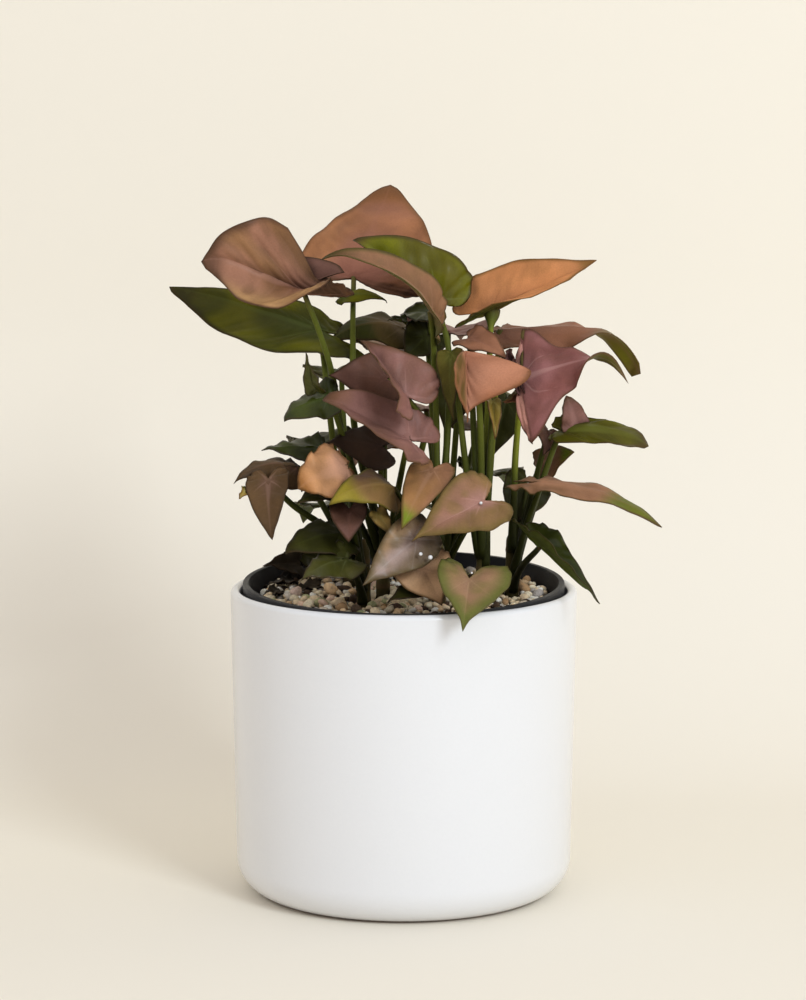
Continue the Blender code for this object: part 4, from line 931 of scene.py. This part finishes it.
def petiole_way(leaf, stem, level, spans):
    """The petiole's middle line, from the stem up to the leaf joint."""
    joint = np.array(leaf.joint, float)
    outward = unit((joint[0] - stem.x, joint[1] - stem.y, 0.0))
    root = np.array([stem.x, stem.y, level + leaf.root]) + outward * STEM_TOP_RADIUS * PETIOLE_OFF_AXIS
    if leaf.via:
        return smooth_way([root] + [np.array(v, float) for v in reversed(leaf.via)] + [joint], spans)
    reach = joint - root
    rise = np.array([0, 0, 1.0])
    flat = reach * (1, 1, 0)
    distance = np.linalg.norm(reach)
    leave = root + distance * PETIOLE_LEAVES_AT * unit(rise + PETIOLE_LEAN * flat)
    arriving = rise * PETIOLE_END_RISE + flat / max(distance, 1.0) * PETIOLE_END_REACH
    arrive = joint - distance * PETIOLE_ARRIVES_AT * unit(arriving)
    t = np.linspace(0, 1, spans + 1)[:, None]
    return ((1 - t) ** 3 * root + 3 * (1 - t) ** 2 * t * leave
            + 3 * (1 - t) * t ** 2 * arrive + t ** 3 * joint)


def join_parts(parts):
    """Several meshes as one: points, triangles and attributes, each in one run."""
    points, faces, attributes, total = [], [], {}, 0
    for part_points, part_faces, part_attributes in parts:
        points.append(part_points)
        faces.append(part_faces + total)
        total += len(part_points)
        for key, values in part_attributes.items():
            attributes.setdefault(key, []).append(values)
    return np.vstack(points), np.vstack(faces), {k: np.concatenate(v) for k, v in attributes.items()}


def petiole_parts(leaf, stem, level, flare, green):
    """The petiole of one leaf, with a flare where it meets the blade."""
    _, _, up, _ = leaf_axes(leaf)
    way = petiole_way(leaf, stem, level, PETIOLE_STEPS)
    share = np.linspace(0, 1, len(way))
    way = way - np.outer(smooth_step(0.86, 1.0, share) * 0.8, up)
    radii = PETIOLE_FOOT_RADIUS + (PETIOLE_TOP_RADIUS - PETIOLE_FOOT_RADIUS) * share
    radii = radii * (1 + 0.35 * (1 - smooth_step(0.0, 0.25, share)))
    radii = radii + flare * smooth_step(0.78, 1.0, share) ** 2
    height = way[:, 2] - level
    fresh = column(smooth_step(0.2, 0.4, share) * smooth_step(0.9, 0.7, share))
    colours = toward(linear(PETIOLE_GREEN), linear(green), fresh)
    # painted shade: the petioles darken towards the soil, under the leaves
    colours = toward(colours, linear(PETIOLE_PAINTED_SHADE), column(1 - smooth_step(20, 95, height)))
    colours = toward(colours, linear(PETIOLE_BLUSH), column(0.5 * smooth_step(0.9, 1.0, share)))
    return tube_parts(way, radii, PETIOLE_SIDES, colours)


def leafy_stem_parts(name, stem):
    """All parts of one plantlet: its stem, petioles and blades."""
    level = soil_level(stem.y * MM) / MM
    climb = np.linspace(0, 1, STEM_STEPS)
    foot = np.array([stem.x, stem.y, level - STEM_BURIED])
    way = foot + np.outer(climb, (0, 0, STEM_BURIED + stem.height))
    knot = np.maximum(0, np.cos(climb * STEM_KNOTS)) ** 6
    radii = STEM_FOOT_RADIUS + (STEM_TOP_RADIUS - STEM_FOOT_RADIUS) * climb
    radii = radii * (1 + 0.1 * knot) * (1 - 0.75 * smooth_step(0.9, 1.0, climb))
    husk = column(0.35 + 0.65 * knot)
    parts = [tube_parts(way, radii, STEM_SIDES, toward(linear(STEM_GREEN), linear(STEM_HUSK), husk))]
    flares = FLARES.get(name, {})
    for number, (leaf, finish) in enumerate(zip(stem.leaves, FINISHES[name])):
        green = PETIOLE_LIME if number in LIME_PETIOLES.get(name, ()) else PETIOLE_GREEN
        parts.append(petiole_parts(leaf, stem, level, flares.get(number, 0.0), green))
        parts.append(leaf_parts(leaf, PALETTES[finish], 1.7 * number + 0.13 * stem.x))
    for number, (leaf, finish) in enumerate(YOUNG_GROWTH.get(name, ())):
        parts.append(leaf_parts(leaf, PALETTES[finish], 5.3 * number + 0.29 * stem.x))
    for *place, radius in DROPS.get(name, ()):
        rise = np.cos(np.linspace(math.pi, 0.35, DROP_RINGS))
        way = np.array(place) + np.outer(rise * radius, DROP_FACING)
        # painted glint: the drops take a near-white tint
        clear = np.full((DROP_RINGS, 3), DROP_GLINT)
        parts.append(tube_parts(way, radius * np.sqrt(1.02 - rise ** 2), PETIOLE_SIDES, clear, 1.0))
    return join_parts(parts)


# Materials


def new_material(name):
    """A material with its node tree and its Principled shader."""
    material = bpy.data.materials.new(name)
    material.use_nodes = True
    return material, material.node_tree, material.node_tree.nodes["Principled BSDF"]


def add(tree, kind, **settings):
    """Add a node, set its properties by name and its inputs by 'in_' and their number."""
    node = tree.nodes.new(kind)
    for key, value in settings.items():
        if key.startswith("in_"):
            node.inputs[int(key[3:])].default_value = value
        else:
            setattr(node, key, value)
    return node


def maths(tree, operation, first, second=None, clamp=False):
    """A Math node on sockets or numbers, as its output socket."""
    node = add(tree, "ShaderNodeMath", operation=operation, use_clamp=clamp)
    for slot, value in enumerate((first, second)):
        if isinstance(value, bpy.types.NodeSocket):
            tree.links.new(value, node.inputs[slot])
        elif value is not None:
            node.inputs[slot].default_value = value
    return node.outputs[0]


def ramp(tree, value, low, high, to_low, to_high):
    """A value mapped from one range to another with a soft step."""
    node = add(tree, "ShaderNodeMapRange", interpolation_type="SMOOTHSTEP",
               in_1=low, in_2=high, in_3=to_low, in_4=to_high)
    tree.links.new(value, node.inputs[0])
    return node.outputs[0]


def mixed(tree, factor, first, second, blend="MIX"):
    """A colour mix of sockets or colours, as its output socket."""
    node = add(tree, "ShaderNodeMix", data_type="RGBA", blend_type=blend)
    for slot, value in ((0, factor), (6, first), (7, second)):
        if isinstance(value, bpy.types.NodeSocket):
            tree.links.new(value, node.inputs[slot])
        elif slot == 0:
            node.inputs[slot].default_value = value
        else:
            node.inputs[slot].default_value = (*value, 1.0)
    return node.outputs[2]


def object_place(tree):
    """The Object coordinates, as an output socket."""
    return add(tree, "ShaderNodeTexCoord").outputs["Object"]


def speckle_group():
    """Node group, built once: two sizes of noise over the surface, as a brightness and a height."""
    group = bpy.data.node_groups.get("surface_speckle")
    if group:
        return group
    group = bpy.data.node_groups.new("surface_speckle", "ShaderNodeTree")
    for name, default in (("Coarse Scale", 60.0), ("Fine Scale", 900.0), ("Contrast", 0.2)):
        socket = group.interface.new_socket(name, in_out="INPUT", socket_type="NodeSocketFloat")
        socket.default_value = default
    for name in ("Brightness", "Height"):
        group.interface.new_socket(name, in_out="OUTPUT", socket_type="NodeSocketFloat")
    source = add(group, "NodeGroupInput")
    sink = add(group, "NodeGroupOutput")
    place = object_place(group)
    noises = []
    for slot, detail in ((0, 3.0), (1, 5.0)):
        texture = add(group, "ShaderNodeTexNoise", in_3=detail)
        group.links.new(place, texture.inputs["Vector"])
        group.links.new(source.outputs[slot], texture.inputs["Scale"])
        noises.append(texture.outputs[0])
    both = maths(group, "ADD", noises[0], noises[1])
    swing = maths(group, "MULTIPLY", maths(group, "SUBTRACT", both, 1.0), source.outputs[2])
    group.links.new(maths(group, "ADD", swing, 1.0), sink.inputs[0])
    group.links.new(both, sink.inputs[1])
    return group


def speckled(tree, coarse, fine, contrast):
    """The speckle group with its own values: its brightness and height sockets."""
    node = add(tree, "ShaderNodeGroup", node_tree=speckle_group(),
               in_0=coarse, in_1=fine, in_2=contrast)
    return node.outputs[0], node.outputs[1]


def brightened(tree, colour, brightness):
    """A colour multiplied by a brightness socket."""
    grey = add(tree, "ShaderNodeCombineColor")
    for slot in range(3):
        tree.links.new(brightness, grey.inputs[slot])
    return mixed(tree, 1.0, colour, grey.outputs[0], "MULTIPLY")


def with_painted_shade(tree, colour, reach, depth):
    """A colour with painted shade: it darkens where other surfaces crowd round it within a reach in metres.
    """
    shelter = add(tree, "ShaderNodeAmbientOcclusion", samples=6, in_1=reach)
    open_share = ramp(tree, shelter.outputs["AO"], 0.15, 0.95, 1.0 - depth, 1.0)
    return brightened(tree, colour, open_share)


def bumped(tree, shader, height, distance, strength):
    """Let a height socket bump the shader's normal by a distance in metres."""
    bump = add(tree, "ShaderNodeBump", in_0=strength, in_1=distance)
    tree.links.new(height, bump.inputs["Height"])
    tree.links.new(bump.outputs[0], shader.inputs["Normal"])


def attribute(tree, name, output="Fac"):
    """One output socket of a mesh attribute."""
    return add(tree, "ShaderNodeAttribute", attribute_name=name).outputs[output]


def cells(tree, scale):
    """Distance to the nearest of many scattered points, as an output socket."""
    texture = add(tree, "ShaderNodeTexVoronoi", in_2=scale)
    tree.links.new(object_place(tree), texture.inputs["Vector"])
    return texture.outputs["Distance"]


def display(red, green, blue):
    """A display colour as the linear colour that a socket takes."""
    return tuple(linear((red, green, blue)))


def leaf_material():
    """Leaf and petiole: painted tint, pale veins, dark margin, fine cells, a waxy gloss and painted shade
    where the leaves crowd.
    """
    material, tree, shader = new_material("arrowhead_leaf_skin")
    bright, rough_height = speckled(tree, 90.0, 1400.0, 0.35)
    colour = brightened(tree, attribute(tree, "tint", "Color"), bright)
    share = attribute(tree, "vein_share")
    main = ramp(tree, attribute(tree, "main_vein"), 0.15, 1.15, 1.0, 0.0)
    cycle = maths(tree, "FRACT", maths(tree, "ADD", attribute(tree, "side_vein"), 0.5))
    off = maths(tree, "ABSOLUTE", maths(tree, "SUBTRACT", cycle, 0.5))
    side = maths(tree, "MULTIPLY", ramp(tree, off, 0.0, 0.16, 1.0, 0.0), attribute(tree, "rib_share"))
    veins = maths(tree, "MAXIMUM", main, side)
    vein_mask = maths(tree, "MULTIPLY", veins, share, clamp=True)
    colour = mixed(tree, vein_mask, colour, attribute(tree, "vein_tint", "Color"))
    margin = ramp(tree, attribute(tree, "margin"), 0.2, 1.0, 0.35, 0.0)
    colour = mixed(tree, margin, colour, display(78, 56, 34))
    # painted shade: the leaf colour darkens where other leaves crowd within 3 cm
    tree.links.new(with_painted_shade(tree, colour, 0.03, 0.75), shader.inputs["Base Color"])
    gloss = attribute(tree, "gloss")
    rough = maths(tree, "SUBTRACT", 0.6, maths(tree, "MULTIPLY", gloss, 0.25))
    grain = maths(tree, "MULTIPLY", maths(tree, "SUBTRACT", rough_height, 1.0), 0.12)
    tree.links.new(maths(tree, "ADD", rough, grain), shader.inputs["Roughness"])
    tree.links.new(ramp(tree, gloss, 0.3, 1.0, 0.0, 0.5), shader.inputs["Coat Weight"])
    sunken = maths(tree, "MULTIPLY", vein_mask, 0.6)
    height = maths(tree, "SUBTRACT", maths(tree, "MULTIPLY", rough_height, 0.3), sunken)
    bumped(tree, shader, height, 0.0003, 0.6)
    shader.inputs["Specular IOR Level"].default_value = 0.12
    shader.inputs["Coat Roughness"].default_value = 0.22
    return material


def glaze_material(colour):
    """White glaze: a slightly wavy, glossy coat with faint warm flecks and a bare foot ring."""
    material, tree, shader = new_material("cachepot_glaze")
    bright, height = speckled(tree, 14.0, 700.0, 0.03)
    base = brightened(tree, tuple(colour), bright)
    fleck = ramp(tree, cells(tree, 420.0), 0.02, 0.06, 0.25, 0.0)
    base = mixed(tree, fleck, base, display(206, 196, 178))
    split = add(tree, "ShaderNodeSeparateXYZ")
    tree.links.new(object_place(tree), split.inputs[0])
    foot = ramp(tree, split.outputs[2], 0.0006, 0.0016, 1.0, 0.0)
    base = mixed(tree, foot, base, display(150, 124, 96))
    tree.links.new(base, shader.inputs["Base Color"])
    rough = ramp(tree, split.outputs[2], 0.0006, 0.0016, 0.8, 0.24)
    tree.links.new(rough, shader.inputs["Roughness"])
    bumped(tree, shader, height, 0.0001, 0.2)
    shader.inputs["Coat Weight"].default_value = 0.35
    shader.inputs["Coat Roughness"].default_value = 0.1
    return material


def plastic_material(colour):
    """Black moulded plastic, dusty in places."""
    material, tree, shader = new_material("nursery_pot_plastic")
    bright, height = speckled(tree, 40.0, 1800.0, 0.5)
    base = brightened(tree, tuple(colour), bright)
    dust = ramp(tree, height, 1.02, 1.3, 0.0, 0.2)
    base = mixed(tree, dust, base, display(92, 80, 70))
    tree.links.new(base, shader.inputs["Base Color"])
    tree.links.new(ramp(tree, height, 0.7, 1.3, 0.38, 0.7), shader.inputs["Roughness"])
    bumped(tree, shader, height, 0.0002, 0.35)
    shader.inputs["Specular IOR Level"].default_value = 0.2
    return material


def mix_material():
    """Potting mix: dark, crumbly, with lighter fibres."""
    material, tree, shader = new_material("potting_mix_crumb")
    bright, height = speckled(tree, 260.0, 1500.0, 1.6)
    base = brightened(tree, display(70, 50, 36), bright)
    fibre = ramp(tree, height, 1.25, 1.45, 0.0, 0.7)
    base = mixed(tree, fibre, base, display(132, 100, 70))
    tree.links.new(base, shader.inputs["Base Color"])
    shader.inputs["Roughness"].default_value = 0.95
    bumped(tree, shader, height, 0.0016, 1.0)
    return material


def pumice_material():
    """Pumice: each grain has its own tint, with pores and dusty faces, and painted shade in the pores and
    between the grains.
    """
    material, tree, shader = new_material("pumice_grain")
    bright, height = speckled(tree, 500.0, 2600.0, 0.8)
    base = brightened(tree, attribute(tree, "tint", "Color"), bright)
    # painted shade: the pores are darkened
    pore = ramp(tree, cells(tree, 2200.0), 0.05, 0.35, 0.3, 0.0)
    base = mixed(tree, pore, base, display(96, 76, 58))
    # painted shade where the grains crowd
    tree.links.new(with_painted_shade(tree, base, 0.004, 0.35), shader.inputs["Base Color"])
    shader.inputs["Roughness"].default_value = 0.9
    bumped(tree, shader, maths(tree, "SUBTRACT", height, pore), 0.0004, 0.8)
    return material


def studio_material(colour):
    """Pale paper sweep with a faint mottle, clear from behind so that it never hides the plant."""
    material, tree, shader = new_material("paper_sweep")
    texture = add(tree, "ShaderNodeTexNoise", in_2=3.0, in_3=2.0)
    shade = ramp(tree, texture.outputs[0], 0.3, 0.7, 0.0, 1.0)
    soft = tuple(c * 0.985 for c in colour)
    tree.links.new(mixed(tree, shade, tuple(colour), soft), shader.inputs["Base Color"])
    shader.inputs["Roughness"].default_value = 0.9
    clear = add(tree, "ShaderNodeBsdfTransparent")
    side = add(tree, "ShaderNodeNewGeometry")
    blend = add(tree, "ShaderNodeMixShader")
    tree.links.new(side.outputs["Backfacing"], blend.inputs[0])
    tree.links.new(shader.outputs[0], blend.inputs[1])
    tree.links.new(clear.outputs[0], blend.inputs[2])
    tree.links.new(blend.outputs[0], tree.nodes["Material Output"].inputs[0])
    return material


# Settings


class PotSettings(bpy.types.PropertyGroup):
    """Finish of the two pots."""

    sides: IntProperty(name="Sides", description="Sides round the pots", default=144, min=48)
    glaze: FloatVectorProperty(name="Glaze", description="Colour of the cachepot's glaze",
                               subtype="COLOR", default=(0.775, 0.78, 0.79), min=0, max=1)
    plastic: FloatVectorProperty(name="Plastic", description="Colour of the nursery pot",
                                 subtype="COLOR", default=(0.02, 0.02, 0.022), min=0, max=1)


class PumiceSettings(bpy.types.PropertyGroup):
    """Size and number of the pumice grains."""

    grain: FloatProperty(name="Grain", description="Mean size of a grain", default=0.0034,
                         unit="LENGTH", min=0.001)
    grains: IntVectorProperty(name="Grains", description="Number of grains in the lower and upper layer",
                              size=2, default=(900, 300), min=0)
    seed: IntProperty(name="Seed", description="Seed of the scatter", default=11)


class StageSettings(bpy.types.PropertyGroup):
    """Sweep and light of the stage."""

    paper: FloatVectorProperty(name="Paper", description="Colour of the sweep", subtype="COLOR",
                               default=(0.895, 0.84, 0.725), min=0, max=1)
    key_power: FloatProperty(name="Key Light", description="Power of the key light", default=45.0,
                             unit="POWER", min=0)
    fill: FloatProperty(name="Fill Light", description="Strength of the light all round", default=0.72,
                        min=0)


# Operators


class PLANT_OT_cachepot(bpy.types.Operator):
    """Build the glazed cachepot"""

    bl_idname = "plant.cachepot"
    bl_label = "Cachepot"

    def execute(self, context):
        settings = context.scene.plant_pots
        foot_radius = POT_RADIUS - POT_TAPER
        lip = POT_WALL / 2
        inner_corner = POT_CORNER - POT_WALL
        inside_foot = foot_radius - POT_WALL
        profile = [(0.0, 0.0)] + arc((foot_radius - POT_CORNER, POT_CORNER), POT_CORNER, -90, 0, 14)
        profile += arc((POT_RADIUS - lip, POT_HEIGHT - lip), lip, 0, 180, 12)
        profile += arc((inside_foot - inner_corner, POT_FLOOR + inner_corner), inner_corner, 0, -90, 8)
        profile += [(0.0, POT_FLOOR)]
        piece = turned_piece("cachepot_glazed", profile[::-1], settings.sides,
                             glaze_material(settings.glaze))
        stand_for(piece, "cachepot")
        return {"FINISHED"}


class PLANT_OT_nursery_pot(bpy.types.Operator):
    """Build the black nursery pot with its lip and drain holes"""

    bl_idname = "plant.nursery_pot"
    bl_label = "Nursery Pot"

    def execute(self, context):
        settings = context.scene.plant_pots
        lip_radius = LINER_TOP_RADIUS + LINER_LIP
        lip_foot = LINER_HEIGHT - LINER_LIP_DEPTH
        edge = LINER_WALL / 2
        profile = [(0.0, 0.0), (LINER_FOOT_RADIUS, 0.0), (LINER_TOP_RADIUS - LINER_WALL, lip_foot),
                   (lip_radius, lip_foot)]
        profile += arc((lip_radius - edge, LINER_HEIGHT - edge), edge, 0, 90, 5)
        profile += [(LINER_TOP_RADIUS - LINER_WALL, LINER_HEIGHT),
                    (LINER_TOP_RADIUS - LINER_LIP_INSET, LINER_HEIGHT - LINER_WALL),
                    (LINER_FOOT_RADIUS - LINER_WALL, LINER_WALL), (0.0, LINER_WALL)]
        piece = turned_piece("nursery_pot_moulded", profile[::-1], settings.sides,
                             plastic_material(settings.plastic))
        for number in range(DRAIN_COUNT):
            turn = 2 * math.pi * number / DRAIN_COUNT
            self.drill(piece, DRAIN_RING * math.cos(turn), DRAIN_RING * math.sin(turn))
        self.close(piece)
        piece.data.transform(liner_frame())
        stand_for(piece, "nursery_pot")
        return {"FINISHED"}

    def drill(self, piece, x, y):
        """Cut one drain hole through the pot's floor."""
        shape = bmesh.new()
        bmesh.ops.create_cone(shape, cap_ends=True, segments=DRAIN_SIDES, radius1=DRAIN_RADIUS,
                              radius2=DRAIN_RADIUS, depth=DRILL_DEPTH,
                              matrix=Matrix.Translation((x, y, 0)))
        mesh = bpy.data.meshes.new("drill")
        shape.to_mesh(mesh)
        shape.free()
        drill = linked("drill", mesh)
        step = piece.modifiers.new("drill", "BOOLEAN")
        step.operation = "DIFFERENCE"
        step.object = drill
        bpy.context.view_layer.update()
        seen = piece.evaluated_get(bpy.context.evaluated_depsgraph_get())
        made = bpy.data.meshes.new_from_object(seen)
        piece.modifiers.clear()
        piece.data = made
        bpy.data.objects.remove(drill, do_unlink=True)

    def close(self, piece):
        """Weld the doubled points of the drilled edges and fill the slits between them."""
        shape = bmesh.new()
        shape.from_mesh(piece.data)
        bmesh.ops.remove_doubles(shape, verts=shape.verts, dist=WELD)
        bmesh.ops.holes_fill(shape, edges=shape.edges, sides=3)
        shape.to_mesh(piece.data)
        shape.free()


class PLANT_OT_potting_mix(bpy.types.Operator):
    """Build the potting mix with its crumbly top"""

    bl_idname = "plant.potting_mix"
    bl_label = "Potting Mix"

    def execute(self, context):
        top = liner_inner_radius(SOIL_LEVEL) - SOIL_CLEARANCE
        foot = liner_inner_radius(SOIL_FLOOR) - SOIL_CLEARANCE
        rows = [(top * k / SOIL_RINGS, SOIL_LEVEL) for k in range(SOIL_RINGS + 1)]
        rows += [(top + (foot - top) * k / SOIL_WALL_RINGS,
                  SOIL_LEVEL + (SOIL_FLOOR - SOIL_LEVEL) * k / SOIL_WALL_RINGS)
                 for k in range(1, SOIL_WALL_RINGS + 1)]
        points, faces = turned(rows + [(0, SOIL_FLOOR)], SOIL_SIDES)
        loose = np.arange(len(points)) - 1 < SOIL_SIDES * (SOIL_RINGS - 1)
        crumb = noise_at(points / MM, 2.2, 3.0) * 0.5 + noise_at(points / MM, 5.5, 8.0) * 0.6
        points[:, 2] += np.where(loose, crumb * MM - CRUMB_SINK, 0.0)
        piece = mesh_piece("potting_mix_crumbly", in_liner(points), faces, mix_material())
        stand_for(piece, "potting_mix")
        return {"FINISHED"}


class PLANT_OT_pumice(bpy.types.Operator):
    """Scatter the pumice grains over the potting mix"""

    bl_idname = "plant.pumice"
    bl_label = "Pumice"

    tints = (
        ((255, 240, 206), 24), ((255, 230, 190), 22), ((255, 250, 236), 14), ((240, 204, 158), 12),
        ((190, 150, 106), 7), ((208, 198, 188), 5), ((74, 54, 36), 14), ((194, 194, 144), 2),
        ((255, 218, 190), 3),
    )
    # larger stones at the front left and right: place and size in millimetres, and colour
    stones = (
        (-47, 4, 6.6, (232, 204, 186)), (-50, -1, 5.4, (240, 230, 214)), (-14, -49, 5.0, (222, 206, 184)),
        (-18, -38, 5.6, (138, 140, 96)), (-12, -44, 4.6, (150, 150, 110)), (2, -52, 6.0, (236, 224, 206)),
        (-34, -30, 5.4, (228, 210, 186)), (-26, -44, 5.2, (216, 190, 160)), (52, -20, 5.6, (226, 208, 182)),
        (58, 4, 5.8, (198, 188, 180)), (50, 14, 5.0, (232, 218, 196)), (44, -34, 5.0, (210, 178, 150)),
        (-58, -14, 5.2, (206, 196, 186)), (-6, -56, 4.8, (196, 160, 130)), (60, -8, 4.8, (240, 230, 214)),
    )

    def execute(self, context):
        settings = context.scene.plant_pumice
        dice = np.random.default_rng(settings.seed)
        radius = liner_inner_radius(SOIL_LEVEL) - SOIL_CLEARANCE
        stems = [(s.x * MM, s.y * MM, STEM_FOOT_RADIUS * MM) for s in STEMS.values()]
        shares = np.array([share for _, share in self.tints], float)
        shares /= shares.sum()
        placed = [(x * MM, y * MM, size * MM, 0, colour) for x, y, size, colour in self.stones]
        for layer, wanted in enumerate(settings.grains):
            tries = 0
            while wanted and tries < GRAIN_TRIES:
                tries += 1
                size = float(np.clip(settings.grain * dice.lognormal(0.0, GRAIN_SPREAD), *GRAIN_LIMITS))
                turn = dice.uniform(0, 2 * math.pi)
                away = (radius - size * 0.5) * math.sqrt(dice.uniform())
                x, y = away * math.cos(turn), away * math.sin(turn)
                if any(h == layer and abs(x - a) < GRAIN_NEAR and abs(y - b) < GRAIN_NEAR
                       and math.hypot(x - a, y - b) < (size + s) * GRAIN_PACKING
                       for a, b, s, h, _ in placed):
                    continue
                if any(math.hypot(x - a, y - b) < r + size * 0.35 for a, b, r in stems):
                    continue
                colour = self.tints[dice.choice(len(self.tints), p=shares)][0]
                placed.append((x, y, size, layer, colour))
                wanted -= 1
        self.pour(placed, dice, settings.grain)
        return {"FINISHED"}

    def pour(self, placed, dice, grain):
        """Turn the placed grains into one mesh of rough, worn stones."""
        ball = bmesh.new()
        bmesh.ops.create_icosphere(ball, subdivisions=2, radius=0.5)
        ball_points = np.array([v.co for v in ball.verts])
        ball_faces = np.array([[v.index for v in f.verts] for f in ball.faces])
        ball.free()
        points, faces, tints = [], [], []
        for x, y, size, layer, colour in placed:
            rough = 1 + 0.2 * noise_at(ball_points * 10, 5.0, dice.uniform(0, 50))
            shape = ball_points * rough[:, None] * size * dice.uniform((0.9, 0.72, 0.55), (1.25, 1.0, 0.85))
            spin = np.array(Matrix.Rotation(dice.uniform(0, 6.3), 3, "Z")
                            @ Matrix.Rotation(dice.uniform(-0.7, 0.7), 3, "X")
                            @ Matrix.Rotation(dice.uniform(-0.7, 0.7), 3, "Y"))
            faces.append(ball_faces + len(points) * len(ball_points))
            points.append(shape @ spin.T + (x, y, SOIL_LEVEL + size * 0.26 + layer * grain * 0.42))
            tints.append(np.tile(linear(colour) * dice.uniform(0.88, 1.14), (len(shape), 1)))
        piece = mesh_piece("pumice_grains", in_liner(np.vstack(points)), np.vstack(faces).tolist(),
                           pumice_material(), {"tint": np.vstack(tints)})
        stand_for(piece, "pumice_dressing")


class PLANT_OT_leafy_stems(bpy.types.Operator):
    """Build the leafy stems with their petioles, blades, veins and ribs"""

    bl_idname = "plant.leafy_stems"
    bl_label = "Leafy Stems"

    def execute(self, context):
        skin = leaf_material()
        for name, stem in STEMS.items():
            points, faces, attributes = leafy_stem_parts(name, stem)
            piece = mesh_piece(name + "_grown", points * MM, faces.tolist(), skin, attributes)
            stand_for(piece, name)
        return {"FINISHED"}


class PLANT_OT_stage(bpy.types.Operator):
    """Build the paper sweep, the lights and the camera"""

    bl_idname = "plant.stage"
    bl_label = "Stage"

    def execute(self, context):
        settings = context.scene.plant_stage
        self.sweep(settings.paper)
        self.key_lamp(settings.key_power)
        world = bpy.data.worlds.new("studio")
        world.use_nodes = True
        background = world.node_tree.nodes["Background"]
        background.inputs[0].default_value = FILL_COLOUR
        background.inputs[1].default_value = settings.fill
        context.scene.world = world
        context.scene.view_settings.view_transform = "Standard"
        camera_data = bpy.data.cameras.new("camera")
        camera_data.sensor_width = CAMERA_SENSOR
        camera_data.lens = CAMERA_LENS
        camera_data.clip_end = CAMERA_REACH
        camera = linked("camera", camera_data)
        camera.location = CAMERA_PLACE
        camera.rotation_euler = (math.pi / 2 - CAMERA_PITCH, 0.0, 0.0)
        context.scene.camera = camera
        return {"FINISHED"}

    def key_lamp(self, power):
        """A soft square lamp that looks at the plant."""
        data = bpy.data.lights.new("key_lamp", "AREA")
        data.size = KEY_SIZE
        data.energy = power
        data.color = KEY_COLOUR
        lamp = linked("key_lamp", data)
        lamp.location = KEY_PLACE
        aim = Vector(KEY_AIM) - lamp.location
        lamp.rotation_euler = aim.to_track_quat("-Z", "Y").to_euler()

    def sweep(self, colour):
        """A floor that curves up into a wall behind the plant."""
        profile = [(SWEEP_FRONT, 0.0)] + arc((SWEEP_BEND_AT, SWEEP_BEND), SWEEP_BEND, -90, 0, 31)
        profile += [(SWEEP_BEND_AT + SWEEP_BEND, SWEEP_HEIGHT)]
        points = [(side * SWEEP_HALF_WIDTH, y, z) for side in (-1, 1) for y, z in profile]
        count = len(profile)
        faces = [(i, i + count, i + count + 1, i + 1) for i in range(count - 1)]
        piece = mesh_piece("paper_sweep", points, faces, studio_material(colour))


class PLANT_PT_panel(bpy.types.Panel):
    """Lists the plant's operators"""

    bl_label = "Arrowhead Plant"
    bl_idname = "PLANT_PT_panel"
    bl_space_type = "VIEW_3D"
    bl_region_type = "UI"
    bl_category = "Arrowhead Plant"

    def draw(self, context):
        for step in STEPS:
            self.layout.operator(step.bl_idname)
        for group, names in (("plant_pots", ("sides", "glaze", "plastic")),
                             ("plant_pumice", ("grain", "grains", "seed")),
                             ("plant_stage", ("paper", "key_power", "fill"))):
            for name in names:
                self.layout.prop(getattr(context.scene, group), name)


STEPS = (PLANT_OT_cachepot, PLANT_OT_nursery_pot, PLANT_OT_potting_mix, PLANT_OT_pumice,
         PLANT_OT_leafy_stems, PLANT_OT_stage)
SETTINGS = {"plant_pots": PotSettings, "plant_pumice": PumiceSettings, "plant_stage": StageSettings}


def register():
    """Register the settings, the operators and the panel."""
    for kind in (*SETTINGS.values(), *STEPS, PLANT_PT_panel):
        bpy.utils.register_class(kind)
    for name, kind in SETTINGS.items():
        setattr(bpy.types.Scene, name, PointerProperty(type=kind))


def unregister():
    """Take the settings, the operators and the panel away."""
    for name in SETTINGS:
        delattr(bpy.types.Scene, name)
    for kind in (PLANT_PT_panel, *reversed(STEPS), *SETTINGS.values()):
        bpy.utils.unregister_class(kind)


def main():
    """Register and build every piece."""
    register()
    for step in STEPS:
        group, name = step.bl_idname.split(".")
        getattr(getattr(bpy.ops, group), name)()
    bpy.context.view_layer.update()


if __name__ == "__main__":
    main()
